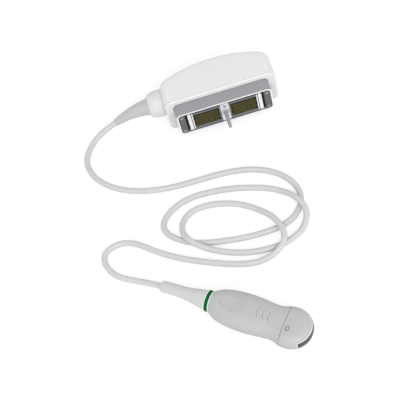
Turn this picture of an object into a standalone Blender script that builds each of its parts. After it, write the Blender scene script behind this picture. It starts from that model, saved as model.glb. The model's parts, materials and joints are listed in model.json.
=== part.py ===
"""Ultrasound transducer probe: a curved-array handle, one free cable and the locking connector.

Metres, +Z up. The connector lies on its broad flat side with its contact face towards -Y. The
origin is on that flat side, under the point where the cable gland's axis crosses the axis of the
locking shaft. The handle lies in front of the connector, at the other end of the cable.
"""

import math

import bmesh
import bpy
import numpy as np
from mathutils import Vector

MM = 0.001
GAP = 0.3 * MM  # between pieces that touch
SLIDE = 0.4 * MM  # between pieces that turn against each other

# Connector frame: x along the contact face, y into the housing from the skirt's rim, z from mid-height.
GLAND_DEPTH = 37.5 * MM
HOUSING_HALF_LENGTH = 60 * MM
HOUSING_THICKNESS = 44 * MM
HOUSING_FACE = 15 * MM
HOUSING_WALL = 2.5 * MM
HOUSING_EDGE = 7 * MM
HOUSING_FACE_EDGE = 1.8 * MM
DOME_DEPTH = 61.5 * MM
DOME_RADIUS = 138 * MM
DOME_CORNER = 12 * MM

SKIRT_HALF_LENGTH = 51.5 * MM
SKIRT_HALF_HEIGHT = 16.6 * MM
SKIRT_CORNER = 5.5 * MM
SKIRT_WALL = 1.8 * MM
SKIRT_TAIL = 8.8 * MM  # behind the housing's face
SKIRT_FLANGE = 2.6 * MM
SKIRT_FLANGE_THICKNESS = 1.5 * MM

INSULATOR_RECESS = 3 * MM
INSULATOR_DEPTH = 21 * MM
CONTACT_BLOCK_INNER = 6.6 * MM
CONTACT_BLOCK_LENGTH = 27.4 * MM
CONTACT_BLOCK_HALF_HEIGHT = 9.7 * MM
CONTACT_BLOCK_RECESS = 0.5 * MM
CONTACT_ROWS = 10
CONTACT_ROW_PITCH = 1.8 * MM
CONTACT_ROW_LENGTH = 26 * MM
CONTACT_ROW_HEIGHT = 0.9 * MM
CONTACT_ROW_RISE = 0.25 * MM
FRAME_RECESS = 0.6 * MM
FRAME_RIM = 1.1 * MM
FRAME_END_RIM = 2.2 * MM
FRAME_HALF_HEIGHT = 12.6 * MM
GUIDE_BAR_WIDTH = 3.6 * MM
GUIDE_BAR_HALF_HEIGHT = 12.8 * MM
GUIDE_BAR_RECESS = 0.2 * MM
GUIDE_BAR_GROOVE = 1 * MM
END_PLATE_INNER = 42.8 * MM
END_PLATE_HALF_HEIGHT = 13.9 * MM
END_PLATE_RECESS = 0.6 * MM
END_PLATE_INNER_CORNER = 0.8 * MM
END_PLATE_OUTER_CORNER = 2.5 * MM
PLATE_SCREW_OFFSET = 10.8 * MM
PLATE_SCREW_RADIUS = 1.7 * MM
PLATE_SCREW_HEAD = 0.5 * MM
CENTRE_PLATE_HALF_WIDTH = 4.6 * MM
CENTRE_PLATE_HALF_HEIGHT = 13.4 * MM
CENTRE_SCREW_OFFSET = 9.6 * MM
BOARD_THICKNESS = 1.6 * MM
CONNECTOR_BOARD_SPARE = 1.5 * MM  # beside the bosses of the front screws
CONNECTOR_BOARD_HALF_HEIGHT = 15 * MM
HARNESS_TURN_START = 8 * MM  # from the housing's cable side
HARNESS_TURN_END = 23 * MM
HARNESS_SPARE = 0.5 * MM  # behind the boss of the front screw that it passes

SHAFT_REACH = 20.5 * MM  # in front of the rim
SHAFT_TIP_RADIUS = 1.8 * MM
SHAFT_RADIUS = 2.5 * MM
SHAFT_TAIL_RADIUS = 1.9 * MM
BUSH_WALL = 1.2 * MM
BUSH_FLANGE = 0.8 * MM
WELL_RADIUS = 15 * MM
WELL_WALL = 1.8 * MM
WELL_DEPTH = 8 * MM
WELL_FLOOR = 2 * MM
WELL_SINK = 0.9 * MM  # of its rim below the dome's crown
WELL_FLANGE = 2.4 * MM
WELL_SPARE = 1.8 * MM  # between its flange and the dome's inner side at the middle
LEVER_HALF_LENGTH = 12 * MM
LEVER_HALF_WIDTH = 3.5 * MM
LEVER_HEIGHT = 7 * MM
LEVER_EDGE = 0.9 * MM
LEVER_SCREW_RADIUS = 2.9 * MM
LEVER_SCREW_HEAD = 1.4 * MM

COLLAR_RADIUS = 14.6 * MM
COLLAR_LENGTH = 17 * MM
COLLAR_BORE = 6.5 * MM
COLLAR_NECK = 10.7 * MM
COLLAR_FLANGE = 13 * MM
COLLAR_FLANGE_THICKNESS = 2 * MM
BOOT_ROOT_RADIUS = 9.2 * MM
BOOT_TIP_RADIUS = 3.8 * MM
BOOT_SPIGOT = 7 * MM

# Inset from the housing's sides and depth from the rim, of the front and the back pair of screws.
SCREW_FRONT_INSET = 11 * MM
SCREW_FRONT_DEPTH = 27.5 * MM
SCREW_BACK_INSET = 26 * MM
SCREW_BACK_DEPTH = 49.5 * MM
HOUSING_SCREWS = (
    (SCREW_FRONT_INSET - HOUSING_HALF_LENGTH, SCREW_FRONT_DEPTH),
    (HOUSING_HALF_LENGTH - SCREW_FRONT_INSET, SCREW_FRONT_DEPTH),
    (SCREW_BACK_INSET - HOUSING_HALF_LENGTH, SCREW_BACK_DEPTH),
    (HOUSING_HALF_LENGTH - SCREW_BACK_INSET, SCREW_BACK_DEPTH),
)
BOSS_RADIUS = 3.5 * MM
SCREW_SHANK = 1.1 * MM
SCREW_HEAD = 2.3 * MM
SCREW_HEAD_THICKNESS = 1.7 * MM
SCREW_CHAMFER = 0.4 * MM
SCREW_SINK = 1.2 * MM
SCREW_REACH = 9 * MM  # into the upper shell

# Handle frame: x along the handle from the coloured ring to the tip, z up through its thickness.
HANDLE_RING = (-70.5 * MM, -244 * MM, 14.7 * MM)
HANDLE_HEADING = math.radians(-37.3)
HANDLE_TILT = math.radians(2)
HANDLE_WALL = 2.2 * MM
HANDLE_START = 3.1 * MM
SEAM = 78.3 * MM
HEAD_CENTRE = 84.3 * MM
HEAD_RADIUS = 20.6 * MM
HEAD_HALF_THICKNESS = 10.9 * MM
# Half-widths, half-thicknesses and squareness of the handle's section at stations along it.
HANDLE_STATIONS = (3.1, 8, 14, 22, 32, 42, 52, 60, 67, 72, 78.3, 84.3)
HANDLE_HALF_WIDTHS = (10.9, 14.3, 16.6, 18.2, 19.1, 19.2, 18.5, 17.6, 17.1, 17.8, 20.0, 20.6)
HANDLE_HALF_DEPTHS = (10.8, 11.8, 12.4, 12.8, 13.0, 13.0, 12.5, 11.9, 11.4, 11.1, 10.9, 10.9)
HANDLE_SQUARENESS = (2.0, 2.05, 2.1, 2.2, 2.25, 2.3, 2.35, 2.4, 2.5, 2.6, 2.7, 2.8)
TONGUE_LENGTH = 4 * MM
TONGUE_WALL = 1.2 * MM

THUMB_AT = 22.2 * MM
THUMB_DEPTH = 0.95 * MM
THUMB_BOWL = (29.7 * MM, 48 * MM, 10 * MM)
GROOVE_FIRST = 50.3 * MM
GROOVE_PITCH = 5.6 * MM
GROOVE_COUNT = 3
GROOVE_HALF_CHORD = 5 * MM
GROOVE_BOW = 1.9 * MM
GROOVE_RADIUS = 0.55 * MM
MARK_AT = (83 * MM, -6.5 * MM)
MARK_SIZE = (1.5 * MM, 2.5 * MM)
MARK_BEAD = 0.4 * MM

LENS_HALF_ANGLE = math.radians(53)
LENS_HALF_HEIGHT = 5.1 * MM
LENS_THICKNESS = 2.6 * MM
LENS_CROWN = 0.3 * MM
MATCHING_THICKNESS = 0.9 * MM
ARRAY_THICKNESS = 1.1 * MM
BACKING_THICKNESS = 9 * MM
FLEX_THICKNESS = 0.4 * MM
FLEX_HALF_WIDTH = 7 * MM
FLEX_REACH = 12 * MM  # past the head's centre
FLEX_LAP = 8 * MM  # over the board
HANDLE_BOARD_START = 22 * MM
HANDLE_BOARD_END = 62 * MM
HANDLE_BOARD_HALF_WIDTH = 9 * MM
BOARD_POSTS = (28 * MM, 52 * MM)
BOARD_POST_RADIUS = 1.8 * MM

RING_RADIUS = 10.6 * MM
RING_HALF_WIDTH = 1.75 * MM
RING_WALL = 2.6 * MM
COLLAR_LIP = 0.7 * MM
COLLAR_LIP_RISE = 0.2 * MM
HANDLE_COLLAR_SPIGOT = 8.2 * MM
HANDLE_COLLAR_REACH = 9 * MM
HARNESS_RADIUS = 2.6 * MM

# Along the handle's boot from the ring: distance and radius in millimetres.
HANDLE_BOOT = (
    (0, 10.3), (0.7, 10.3), (1.0, 9.8), (4, 9.5), (10, 8.6),
    (18, 7.1), (25, 6.3), (33, 5.95), (50, 5.9), (51.5, 5.3),
)

CABLE_RADIUS = 3.1 * MM
CABLE_POINTS = 80
# The cable's centreline in millimetres, from the connector's boot to the handle's: one hook to the
# left, an outer loop that crosses the first strand, an inner loop that crosses both, and a last hook.
CABLE_ROUTE = (
    (-115.3, -1.2, 13), (-130, -4.2, 8.6), (-146, -13.5, 4), (-156, -33, 3.2), (-150, -58, 3.2),
    (-120, -84.5, 3.2), (-66, -96.9, 3.2), (1, -101.8, 3.2), (35, -121.3, 3.2), (46.5, -149.5, 3.2),
    (35.5, -171.2, 3.2), (3, -181, 3.2), (-45, -176, 3.2), (-83, -160.5, 3.2), (-95.3, -141, 3.2),
    (-80, -122.3, 3.2), (-40, -116, 3.2), (2, -125.5, 3.2), (28, -139, 3.6), (41.2, -157, 9.7),
    (46.2, -171.5, 9), (39.5, -187.3, 3.8), (7, -200.4, 3.2), (-36, -192.5, 3.2), (-60, -180.2, 6.4),
    (-72.5, -170, 10.1), (-77.6, -154, 7.4), (-70, -136.5, 3.4), (-38, -132, 3.2), (1, -153, 3.4),
    (15, -175.5, 9.7), (16.7, -198, 10.1), (1, -209.6, 5.6), (-48, -201.6, 3.2), (-112, -162.7, 3.2),
    (-141, -144.8, 3.2), (-159.5, -152, 3.2), (-157, -174, 3.2), (-130, -195, 3.6), (-110.5, -210.6, 9.6),
)

TO_X = (0, math.pi / 2, 0)
TO_MINUS_X = (0, -math.pi / 2, 0)
TO_Y = (-math.pi / 2, 0, 0)
UPRIGHT_OUTLINE = (math.pi / 2, 0, 0)  # an outline's second axis becomes z


def clear_scene():
    for obj in list(bpy.data.objects):
        bpy.data.objects.remove(obj, do_unlink=True)


def new_collection(name):
    made = bpy.data.collections.new(name)
    bpy.context.scene.collection.children.link(made)
    return made


def new_finish(name, colour, roughness, metallic=0.0):
    made = bpy.data.materials.new(name)
    made.use_nodes = True
    shader = made.node_tree.nodes["Principled BSDF"]
    shader.inputs["Base Color"].default_value = (*colour, 1)
    shader.inputs["Roughness"].default_value = roughness
    shader.inputs["Metallic"].default_value = metallic
    made.diffuse_color = (*colour, 1)
    return made


def new_frame(name, at, turn=(0, 0, 0)):
    empty = bpy.data.objects.new(name, None)
    empty.location = at
    empty.rotation_euler = turn
    PARTS.objects.link(empty)
    return empty


def place(name, mesh, frame, finish, at=(0, 0, 0), turn=(0, 0, 0)):
    """A named object in its frame. Without a finish it is a cutter."""
    obj = bpy.data.objects.new(name, mesh)
    obj.parent = frame
    obj.location = at
    obj.rotation_euler = turn
    if finish is None:
        CUTTERS.objects.link(obj)
        obj.hide_render = True
        obj.display_type = "WIRE"
    else:
        PARTS.objects.link(obj)
        mesh.materials.clear()
        mesh.materials.append(finish)
    return obj


def mesh_of(name, bm):
    bmesh.ops.recalc_face_normals(bm, faces=bm.faces)
    mesh = bpy.data.meshes.new(name)
    bm.to_mesh(mesh)
    bm.free()
    mesh.shade_smooth()
    mesh.set_sharp_from_angle(angle=math.radians(35))
    return mesh


def round_edges(obj, radius, segments=2, angle=50):
    bevel = obj.modifiers.new("round edges", "BEVEL")
    bevel.width = radius
    bevel.segments = segments
    bevel.limit_method = "ANGLE"
    bevel.angle_limit = math.radians(angle)
    return obj


def box(name, low, high, frame, finish, edge=0.0):
    low, high = Vector(low), Vector(high)
    bm = bmesh.new()
    bmesh.ops.create_cube(bm, size=1)
    bmesh.ops.scale(bm, vec=high - low, verts=bm.verts)
    obj = place(name, mesh_of(name, bm), frame, finish, (low + high) / 2)
    return round_edges(obj, edge) if edge else obj


def drum(name, radius, start, length, turn, frame, finish, sides=32):
    """A cylinder that begins at start and runs along the turned z axis."""
    bm = bmesh.new()
    bmesh.ops.create_cone(bm, cap_ends=True, segments=sides, radius1=radius, radius2=radius, depth=length)
    bmesh.ops.translate(bm, vec=(0, 0, length / 2), verts=bm.verts)
    return place(name, mesh_of(name, bm), frame, finish, start, turn)


def upright_drum(name, radius, start, length, sides):
    """A cutter or a tool of the connector that stands along z."""
    return drum(name, radius, start, length, (0, 0, 0), CONNECTOR, None, sides)


def turned(name, profile, frame, finish, at, turn, closed=False, steps=32):
    """A profile of (radius, height), its outer side running from top to bottom, turned about z."""
    mesh = bpy.data.meshes.new(name)
    points = [(radius, 0, height) for radius, height in profile]
    edges = [(i, i + 1) for i in range(len(points) - 1)]
    if closed:
        edges.append((len(points) - 1, 0))
    mesh.from_pydata(points, edges, [])
    obj = place(name, mesh, frame, finish, at, turn)
    screw = obj.modifiers.new("turn", "SCREW")
    screw.steps = screw.render_steps = steps
    screw.use_merge_vertices = True
    screw.merge_threshold = 0.00001
    screw.use_smooth_shade = True
    return obj


def curve_mesh(name, curve):
    """The mesh of a curve, its loose caps welded to its sides."""
    guide = bpy.data.objects.new(name, curve)
    bpy.context.scene.collection.objects.link(guide)
    graph = bpy.context.evaluated_depsgraph_get()
    mesh = bpy.data.meshes.new_from_object(guide.evaluated_get(graph))
    bpy.data.objects.remove(guide, do_unlink=True)
    bpy.data.curves.remove(curve)
    bm = bmesh.new()
    bm.from_mesh(mesh)
    bpy.data.meshes.remove(mesh)
    bmesh.ops.remove_doubles(bm, verts=bm.verts, dist=0.000002)
    return bm


def outline_curve(name, loops, thickness):
    curve = bpy.data.curves.new(name, "CURVE")
    curve.dimensions = "2D"
    curve.fill_mode = "BOTH"
    curve.extrude = thickness / 2
    for loop in loops:
        spline = curve.splines.new("POLY")
        spline.points.add(len(loop) - 1)
        spline.use_cyclic_u = True
        for point, (x, y) in zip(spline.points, loop):
            point.co = (x, y, 0, 1)
    return curve


def plate(name, loops, thickness, frame, finish, at, turn=(0, 0, 0), edge=0.0):
    """A flat outline, with any holes as further loops, whose mid-plane passes through at."""
    bm = curve_mesh(name, outline_curve(name, loops, thickness))
    if len(loops) == 1:
        bmesh.ops.dissolve_limit(bm, angle_limit=0.01, verts=bm.verts, edges=bm.edges)
    obj = place(name, mesh_of(name, bm), frame, finish, at, turn)
    return round_edges(obj, edge) if edge else obj


def tube(name, points, radii, frame, finish, sides_level=3):
    """A round tube along points, with a radius at each."""
    curve = bpy.data.curves.new(name, "CURVE")
    curve.dimensions = "3D"
    curve.bevel_depth = 1
    curve.bevel_resolution = sides_level
    curve.use_fill_caps = True
    spline = curve.splines.new("POLY")
    spline.points.add(len(points) - 1)
    for point, place_at, radius in zip(spline.points, points, radii):
        point.co = (*place_at, 1)
        point.radius = radius
    return place(name, mesh_of(name, curve_mesh(name, curve)), frame, finish)


def combine(obj, operation, tools):
    for tool in tools:
        boolean = obj.modifiers.new(f"{operation.lower()} {tool.name}", "BOOLEAN")
        boolean.operation = operation
        boolean.solver = "EXACT"
        boolean.object = tool
    return obj


def cut(obj, *tools):
    return combine(obj, "DIFFERENCE", tools)


def join(obj, *tools):
    return combine(obj, "UNION", tools)


def arc(centre, radius, start, end, steps):
    angles = np.linspace(start, end, steps + 1)
    return [(centre[0] + radius * math.cos(a), centre[1] + radius * math.sin(a)) for a in angles]


def rounded_rectangle(low, high, corners, steps=5):
    """Corners is one radius, or one for each corner, counted from the upper right to the left."""
    (x0, y0), (x1, y1) = low, high
    radii = corners if isinstance(corners, tuple) else (corners,) * 4
    right_angle = math.pi / 2
    loop = []
    for quarter, (x, y, radius) in enumerate(zip((x1, x0, x0, x1), (y1, y1, y0, y0), radii)):
        centre = (x + math.copysign(radius, x0 + x1 - 2 * x), y + math.copysign(radius, y0 + y1 - 2 * y))
        loop += arc(centre, radius, quarter * right_angle, (quarter + 1) * right_angle, steps)
    return loop


def natural_spline(knots, values, at):
    """Values of the smooth curve through the knots, with continuous curvature."""
    knots, values, at = np.asarray(knots, float), np.asarray(values, float), np.asarray(at, float)
    flat = values.reshape(len(knots), -1)
    step = np.diff(knots)
    system, right = np.eye(len(knots)), np.zeros_like(flat)
    for i in range(1, len(knots) - 1):
        system[i, i - 1 : i + 2] = step[i - 1], 2 * (step[i - 1] + step[i]), step[i]
        right[i] = 6 * ((flat[i + 1] - flat[i]) / step[i] - (flat[i] - flat[i - 1]) / step[i - 1])
    bend = np.linalg.solve(system, right)
    i = np.clip(np.searchsorted(knots, at, side="right") - 1, 0, len(knots) - 2)
    before = ((knots[i + 1] - at) / step[i])[:, None]
    after = 1 - before
    curved = ((before**3 - before) * bend[i] + (after**3 - after) * bend[i + 1]) * (step[i] ** 2)[:, None] / 6
    return (before * flat[i] + after * flat[i + 1] + curved).reshape(len(at), *values.shape[1:])


def evenly_along(points, count):
    """Points at equal distances along the smooth curve through the given ones."""
    points = np.asarray(points, float)
    knots = np.concatenate([[0], np.cumsum(np.linalg.norm(np.diff(points, axis=0), axis=1))])
    fine = natural_spline(knots, points, np.linspace(0, knots[-1], 40 * count))
    run = np.concatenate([[0], np.cumsum(np.linalg.norm(np.diff(fine, axis=0), axis=1))])
    marks = np.linspace(0, run[-1], count)
    return np.stack([np.interp(marks, run, fine[:, axis]) for axis in range(3)], axis=1)


def easy_bend(start, start_direction, end, end_direction, pull, steps):
    """Points on one cubic bend between two ends with given directions of travel."""
    start, end = Vector(start), Vector(end)
    first = start + pull * Vector(start_direction).normalized()
    second = end - pull * Vector(end_direction).normalized()
    points = []
    for i in range(steps + 1):
        t = i / steps
        u = 1 - t
        points.append(u**3 * start + 3 * u * u * t * first + 3 * u * t * t * second + t**3 * end)
    return points


def lengths_along(points):
    gaps = [(b - a).length for a, b in zip(points, points[1:])]
    return np.concatenate([[0], np.cumsum(gaps)])


def at_lengths(points, wanted):
    run = lengths_along(points)
    return [Vector([np.interp(w, run, [p[axis] for p in points]) for axis in range(3)]) for w in wanted]


def cable_centreline():
    points = evenly_along(np.array(CABLE_ROUTE) * MM, CABLE_POINTS)
    points[:, 2] = np.maximum(points[:, 2], CABLE_RADIUS + 0.1 * MM)
    return points


def dome_outline(inset):
    """The housing's plan: flat face, straight sides, rounded corners and a shallow domed back."""
    dome_centre = (0, DOME_DEPTH - DOME_RADIUS)
    corner_x = HOUSING_HALF_LENGTH - DOME_CORNER
    corner_y = dome_centre[1] + math.sqrt((DOME_RADIUS - DOME_CORNER) ** 2 - corner_x**2)
    meet = math.atan2(corner_y - dome_centre[1], corner_x)
    corner = DOME_CORNER - inset
    side = HOUSING_HALF_LENGTH - inset
    return [
        (-side, HOUSING_FACE + inset),
        (side, HOUSING_FACE + inset),
        *arc((corner_x, corner_y), corner, 0, meet, 4),
        *arc(dome_centre, DOME_RADIUS - inset, meet, math.pi - meet, 12)[1:-1],
        *arc((-corner_x, corner_y), corner, math.pi - meet, math.pi, 4),
    ]


def housing_solid(name, inset, edge, face_edge):
    """The housing's full outer or inner form, with broad edges round its back and finer ones round its face."""
    thickness = HOUSING_THICKNESS - 2 * inset
    bm = curve_mesh(name, outline_curve(name, [dome_outline(inset)], thickness))
    bmesh.ops.dissolve_limit(bm, angle_limit=0.01, verts=bm.verts, edges=bm.edges)
    face = HOUSING_FACE + inset
    near_face = [e for e in bm.edges if all(abs(v.co.y - face) < 0.01 * MM for v in e.verts)]
    rims = [e for e in bm.edges if abs(e.verts[0].co.z - e.verts[1].co.z) < 0.01 * MM and e not in near_face]
    bmesh.ops.bevel(bm, geom=rims, offset=edge, segments=3, profile=0.5, affect="EDGES", clamp_overlap=True)
    if face_edge:
        flat = [
            e for e in bm.edges
            if all(abs(v.co.y - face) < 0.01 * MM for v in e.verts) and len(e.link_faces) == 2
            and e.calc_face_angle() > math.radians(30)
        ]
        bmesh.ops.bevel(
            bm, geom=flat, offset=face_edge, segments=2, profile=0.5, affect="EDGES", clamp_overlap=True,
        )
    return place(name, mesh_of(name, bm), CONNECTOR, None)


def skirt_loop(inset):
    x, z = SKIRT_HALF_LENGTH - inset, SKIRT_HALF_HEIGHT - inset
    return rounded_rectangle((-x, -z), (x, z), SKIRT_CORNER - inset)


def depth_plate(name, loops, front, back, finish, edge=0.0):
    """A plate whose outline lies in x and z, between two depths of the connector."""
    middle = (0, (front + back) / 2, 0)
    return plate(name, loops, back - front, CONNECTOR, finish, middle, UPRIGHT_OUTLINE, edge)


def make_housing():
    white = new_finish("housing white", (0.80, 0.80, 0.81), 0.42)
    outer = housing_solid("housing form", 0, HOUSING_EDGE, HOUSING_FACE_EDGE)
    inner = housing_solid("housing hollow", HOUSING_WALL, HOUSING_EDGE - HOUSING_WALL, 0)
    gland = (-HOUSING_HALF_LENGTH, GLAND_DEPTH, 0)
    seat = drum("gland seat", COLLAR_RADIUS + GAP, gland, 10 * MM, TO_X, CONNECTOR, None, 40)
    outer_and_seat = join(outer, seat)
    mouth = depth_plate("skirt mouth", [skirt_loop(-GAP)], 0, HOUSING_FACE + 2 * HOUSING_WALL, None)
    neck = drum(
        "gland hole", COLLAR_NECK + GAP, (-2 * HOUSING_HALF_LENGTH, GLAND_DEPTH, 0),
        HOUSING_HALF_LENGTH + 3 * HOUSING_WALL, TO_X, CONNECTOR, None, 40,
    )
    flange_pocket = drum(
        "gland flange pocket", COLLAR_FLANGE + GAP, (HOUSING_WALL - HOUSING_HALF_LENGTH, GLAND_DEPTH, 0),
        COLLAR_FLANGE_THICKNESS + 2 * GAP, TO_X, CONNECTOR, None, 40,
    )
    back = drum(
        "well hole", WELL_RADIUS + GAP, (0, DOME_DEPTH - 2.5 * HOUSING_WALL, 0),
        4 * HOUSING_WALL, TO_Y, CONNECTOR, None, 40,
    )
    reach = HOUSING_THICKNESS / 2
    far = 3 * HOUSING_HALF_LENGTH
    below = box("below the parting line", (-far, -far, -far), (far, far, GAP / 2), CONNECTOR, None)
    above = box("above the parting line", (-far, -far, -GAP / 2), (far, far, far), CONNECTOR, None)
    post = reach - HOUSING_WALL / 2
    sink = SCREW_SINK + SCREW_HEAD_THICKNESS
    shank = SCREW_SHANK + GAP
    for name, side, other_half in (("housing_upper", 1, below), ("housing_lower", -1, above)):
        half = place(name, bpy.data.meshes.new(name), CONNECTOR, white)
        join(half, outer_and_seat)
        cut(half, inner)
        for x, y in HOUSING_SCREWS:
            join(half, upright_drum(f"{name} boss", BOSS_RADIUS, (x, y, min(0, side * post)), post, 20))
        cut(half, mouth, neck, flange_pocket, back)
        for x, y in HOUSING_SCREWS:
            if side > 0:
                cut(half, upright_drum("pilot hole", shank, (x, y, -GAP), SCREW_REACH + 4 * GAP, 16))
            else:
                cut(half, upright_drum("shank hole", shank, (x, y, -reach - GAP), reach + 2 * GAP, 16))
                head_start = (x, y, -reach - sink)
                cut(half, upright_drum("head hole", SCREW_HEAD + GAP, head_start, 2 * sink + GAP, 20))
        cut(half, other_half)
    steel = new_finish("screw steel", (0.55, 0.55, 0.57), 0.35, 0.9)
    for number, (x, y) in enumerate(HOUSING_SCREWS, 1):
        top = reach + SCREW_REACH
        profile = (
            (0, top), (SCREW_SHANK, top - SCREW_SHANK), (SCREW_SHANK, sink), (SCREW_HEAD, sink),
            (SCREW_HEAD, SCREW_SINK + SCREW_CHAMFER), (SCREW_HEAD - SCREW_CHAMFER, SCREW_SINK), (0, SCREW_SINK),
        )
        turned(f"housing_screw_{number}", profile, CONNECTOR, steel, (x, y, -reach), (0, 0, 0), steps=12)


def make_skirt():
    metal = new_finish("skirt metal", (0.33, 0.33, 0.35), 0.38, 0.8)
    inner = skirt_loop(SKIRT_WALL)
    skirt = depth_plate("metal_skirt", [skirt_loop(0), inner], 0, HOUSING_FACE + SKIRT_TAIL, metal)
    flange_front = HOUSING_FACE + HOUSING_WALL + GAP
    flange = depth_plate(
        "skirt flange", [skirt_loop(-SKIRT_FLANGE), skirt_loop(SKIRT_WALL / 2)],
        flange_front, flange_front + SKIRT_FLANGE_THICKNESS, None,
    )
    join(skirt, flange)


def side_of(name):
    return -1 if name.endswith("left") else 1


def span(side, near, far):
    """Two x limits on one side of the middle, lowest first."""
    return (near, far) if side > 0 else (-far, -near)


def x_z_rectangle(x_limits, half_height):
    x0, x1 = x_limits
    return [(x0, -half_height), (x1, -half_height), (x1, half_height), (x0, half_height)]


def make_contacts():
    black = new_finish("contact block black", (0.02, 0.02, 0.015), 0.5)
    frame_metal = new_finish("contact frame", (0.40, 0.41, 0.43), 0.35, 0.7)
    body_black = new_finish("insulator black", (0.03, 0.03, 0.03), 0.6)
    block_end = CONTACT_BLOCK_INNER + CONTACT_BLOCK_LENGTH
    x, z = SKIRT_HALF_LENGTH - SKIRT_WALL - GAP, SKIRT_HALF_HEIGHT - SKIRT_WALL - GAP
    loop = rounded_rectangle((-x, -z), (x, z), SKIRT_CORNER - SKIRT_WALL - GAP)
    back = INSULATOR_RECESS + INSULATOR_DEPTH
    insulator = depth_plate("insulator_body", [loop], INSULATOR_RECESS, back, body_black)
    way = SHAFT_RADIUS + BUSH_WALL + 2 * GAP
    way_end = back + BOARD_THICKNESS + 5 * GAP
    cut(insulator, drum("shaft way", way, (0, 0, 0), way_end, TO_Y, CONNECTOR, None, 24))
    frame_near = CENTRE_PLATE_HALF_WIDTH + GAP
    for name in ("left", "right"):
        side = side_of(name)
        pocket_ends = span(side, CONTACT_BLOCK_INNER - GAP, block_end + GAP)
        window = x_z_rectangle(pocket_ends, CONTACT_BLOCK_HALF_HEIGHT + GAP)
        cut(insulator, depth_plate(f"block pocket {name}", [window], 0, back + GAP, None))
        outline = x_z_rectangle(span(side, CONTACT_BLOCK_INNER, block_end), CONTACT_BLOCK_HALF_HEIGHT)
        block = depth_plate(f"contact_block_{name}", [outline], CONTACT_BLOCK_RECESS, back, black)
        join(block, contact_rows(name, side))
        low, high = span(side, frame_near, block_end + FRAME_END_RIM)
        rim = rounded_rectangle((low, -FRAME_HALF_HEIGHT), (high, FRAME_HALF_HEIGHT), FRAME_RIM / 2, 2)
        depth_plate(f"contact_frame_{name}", [rim, window], FRAME_RECESS, INSULATOR_RECESS - GAP, frame_metal)


def contact_rows(name, side):
    """The ribs that carry the rows of contacts, as one tool for the block."""
    bm = bmesh.new()
    middle = side * (CONTACT_BLOCK_INNER + CONTACT_BLOCK_LENGTH / 2)
    for row in range(CONTACT_ROWS):
        z = (row - (CONTACT_ROWS - 1) / 2) * CONTACT_ROW_PITCH
        made = bmesh.ops.create_cube(bm, size=1)["verts"]
        bmesh.ops.scale(bm, vec=(CONTACT_ROW_LENGTH, 2 * CONTACT_ROW_RISE, CONTACT_ROW_HEIGHT), verts=made)
        bmesh.ops.translate(bm, vec=(middle, CONTACT_BLOCK_RECESS, z), verts=made)
    return place(f"contact rows {name}", mesh_of("contact rows", bm), CONNECTOR, None)


def small_screw(name, at, finish):
    """A round-headed screw seen from the contact face, its shank running into the insulator."""
    radius, head, shank = PLATE_SCREW_RADIUS, PLATE_SCREW_HEAD, PLATE_SCREW_RADIUS / 2
    profile = (
        (0, head), (radius * 0.6, head), (radius, head / 2), (radius, 0),
        (shank, 0), (shank, GAP - INSULATOR_RECESS), (0, GAP - INSULATOR_RECESS),
    )
    turned(name, profile, CONNECTOR, finish, at, (math.pi / 2, 0, 0), steps=12)


def make_face_hardware():
    steel = new_finish("face screw steel", (0.62, 0.62, 0.64), 0.3, 0.9)
    plate_grey = new_finish("end plate grey", (0.10, 0.10, 0.10), 0.45, 0.4)
    bar_metal = new_finish("guide bar bright", (0.80, 0.80, 0.82), 0.25, 0.6)
    centre_metal = new_finish("centre plate pale", (0.66, 0.68, 0.69), 0.35, 0.4)
    outer = SKIRT_HALF_LENGTH - SKIRT_WALL - GAP
    bar_near = CONTACT_BLOCK_INNER + CONTACT_BLOCK_LENGTH + FRAME_END_RIM + GAP
    plate_back = INSULATOR_RECESS - GAP
    for name in ("left", "right"):
        side = side_of(name)
        x0, x1 = span(side, bar_near, bar_near + GUIDE_BAR_WIDTH)
        bar = box(
            f"guide_bar_{name}", (x0, GUIDE_BAR_RECESS, -GUIDE_BAR_HALF_HEIGHT),
            (x1, plate_back, GUIDE_BAR_HALF_HEIGHT), CONNECTOR, bar_metal, 0.25 * MM,
        )
        middle = (x0 + x1) / 2
        aside, past = GUIDE_BAR_GROOVE / 2, 2 * GUIDE_BAR_HALF_HEIGHT
        groove_low = (middle - aside, -GUIDE_BAR_GROOVE, -past)
        groove_high = (middle + aside, GUIDE_BAR_RECESS + aside, past)
        cut(bar, box(f"guide groove {name}", groove_low, groove_high, CONNECTOR, None))
        low, high = span(side, END_PLATE_INNER, outer)
        near, far = END_PLATE_INNER_CORNER, END_PLATE_OUTER_CORNER
        radii = (far, near, near, far) if side > 0 else (near, far, far, near)
        loop = rounded_rectangle((low, -END_PLATE_HALF_HEIGHT), (high, END_PLATE_HALF_HEIGHT), radii, 3)
        end_plate = depth_plate(f"end_plate_{name}", [loop], END_PLATE_RECESS, plate_back, plate_grey)
        for number, height in enumerate((PLATE_SCREW_OFFSET, -PLATE_SCREW_OFFSET), 1):
            at = ((low + high) / 2, END_PLATE_RECESS - GAP, height)
            bore_screw(f"plate_screw_{name}_{number}", at, steel, end_plate)
    width, height = CENTRE_PLATE_HALF_WIDTH, CENTRE_PLATE_HALF_HEIGHT
    loop = rounded_rectangle((-width, -height), (width, height), 1 * MM, 3)
    centre = depth_plate("centre_plate", [loop], CONTACT_BLOCK_RECESS, plate_back, centre_metal)
    seat = SHAFT_TIP_RADIUS + SLIDE + BUSH_WALL + GAP
    seat_start = (0, -INSULATOR_RECESS, 0)
    cut(centre, drum("bush seat", seat, seat_start, 3 * INSULATOR_RECESS, TO_Y, CONNECTOR, None, 24))
    bore_screw("centre_screw", (0, CONTACT_BLOCK_RECESS - GAP, CENTRE_SCREW_OFFSET), steel, centre)


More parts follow.
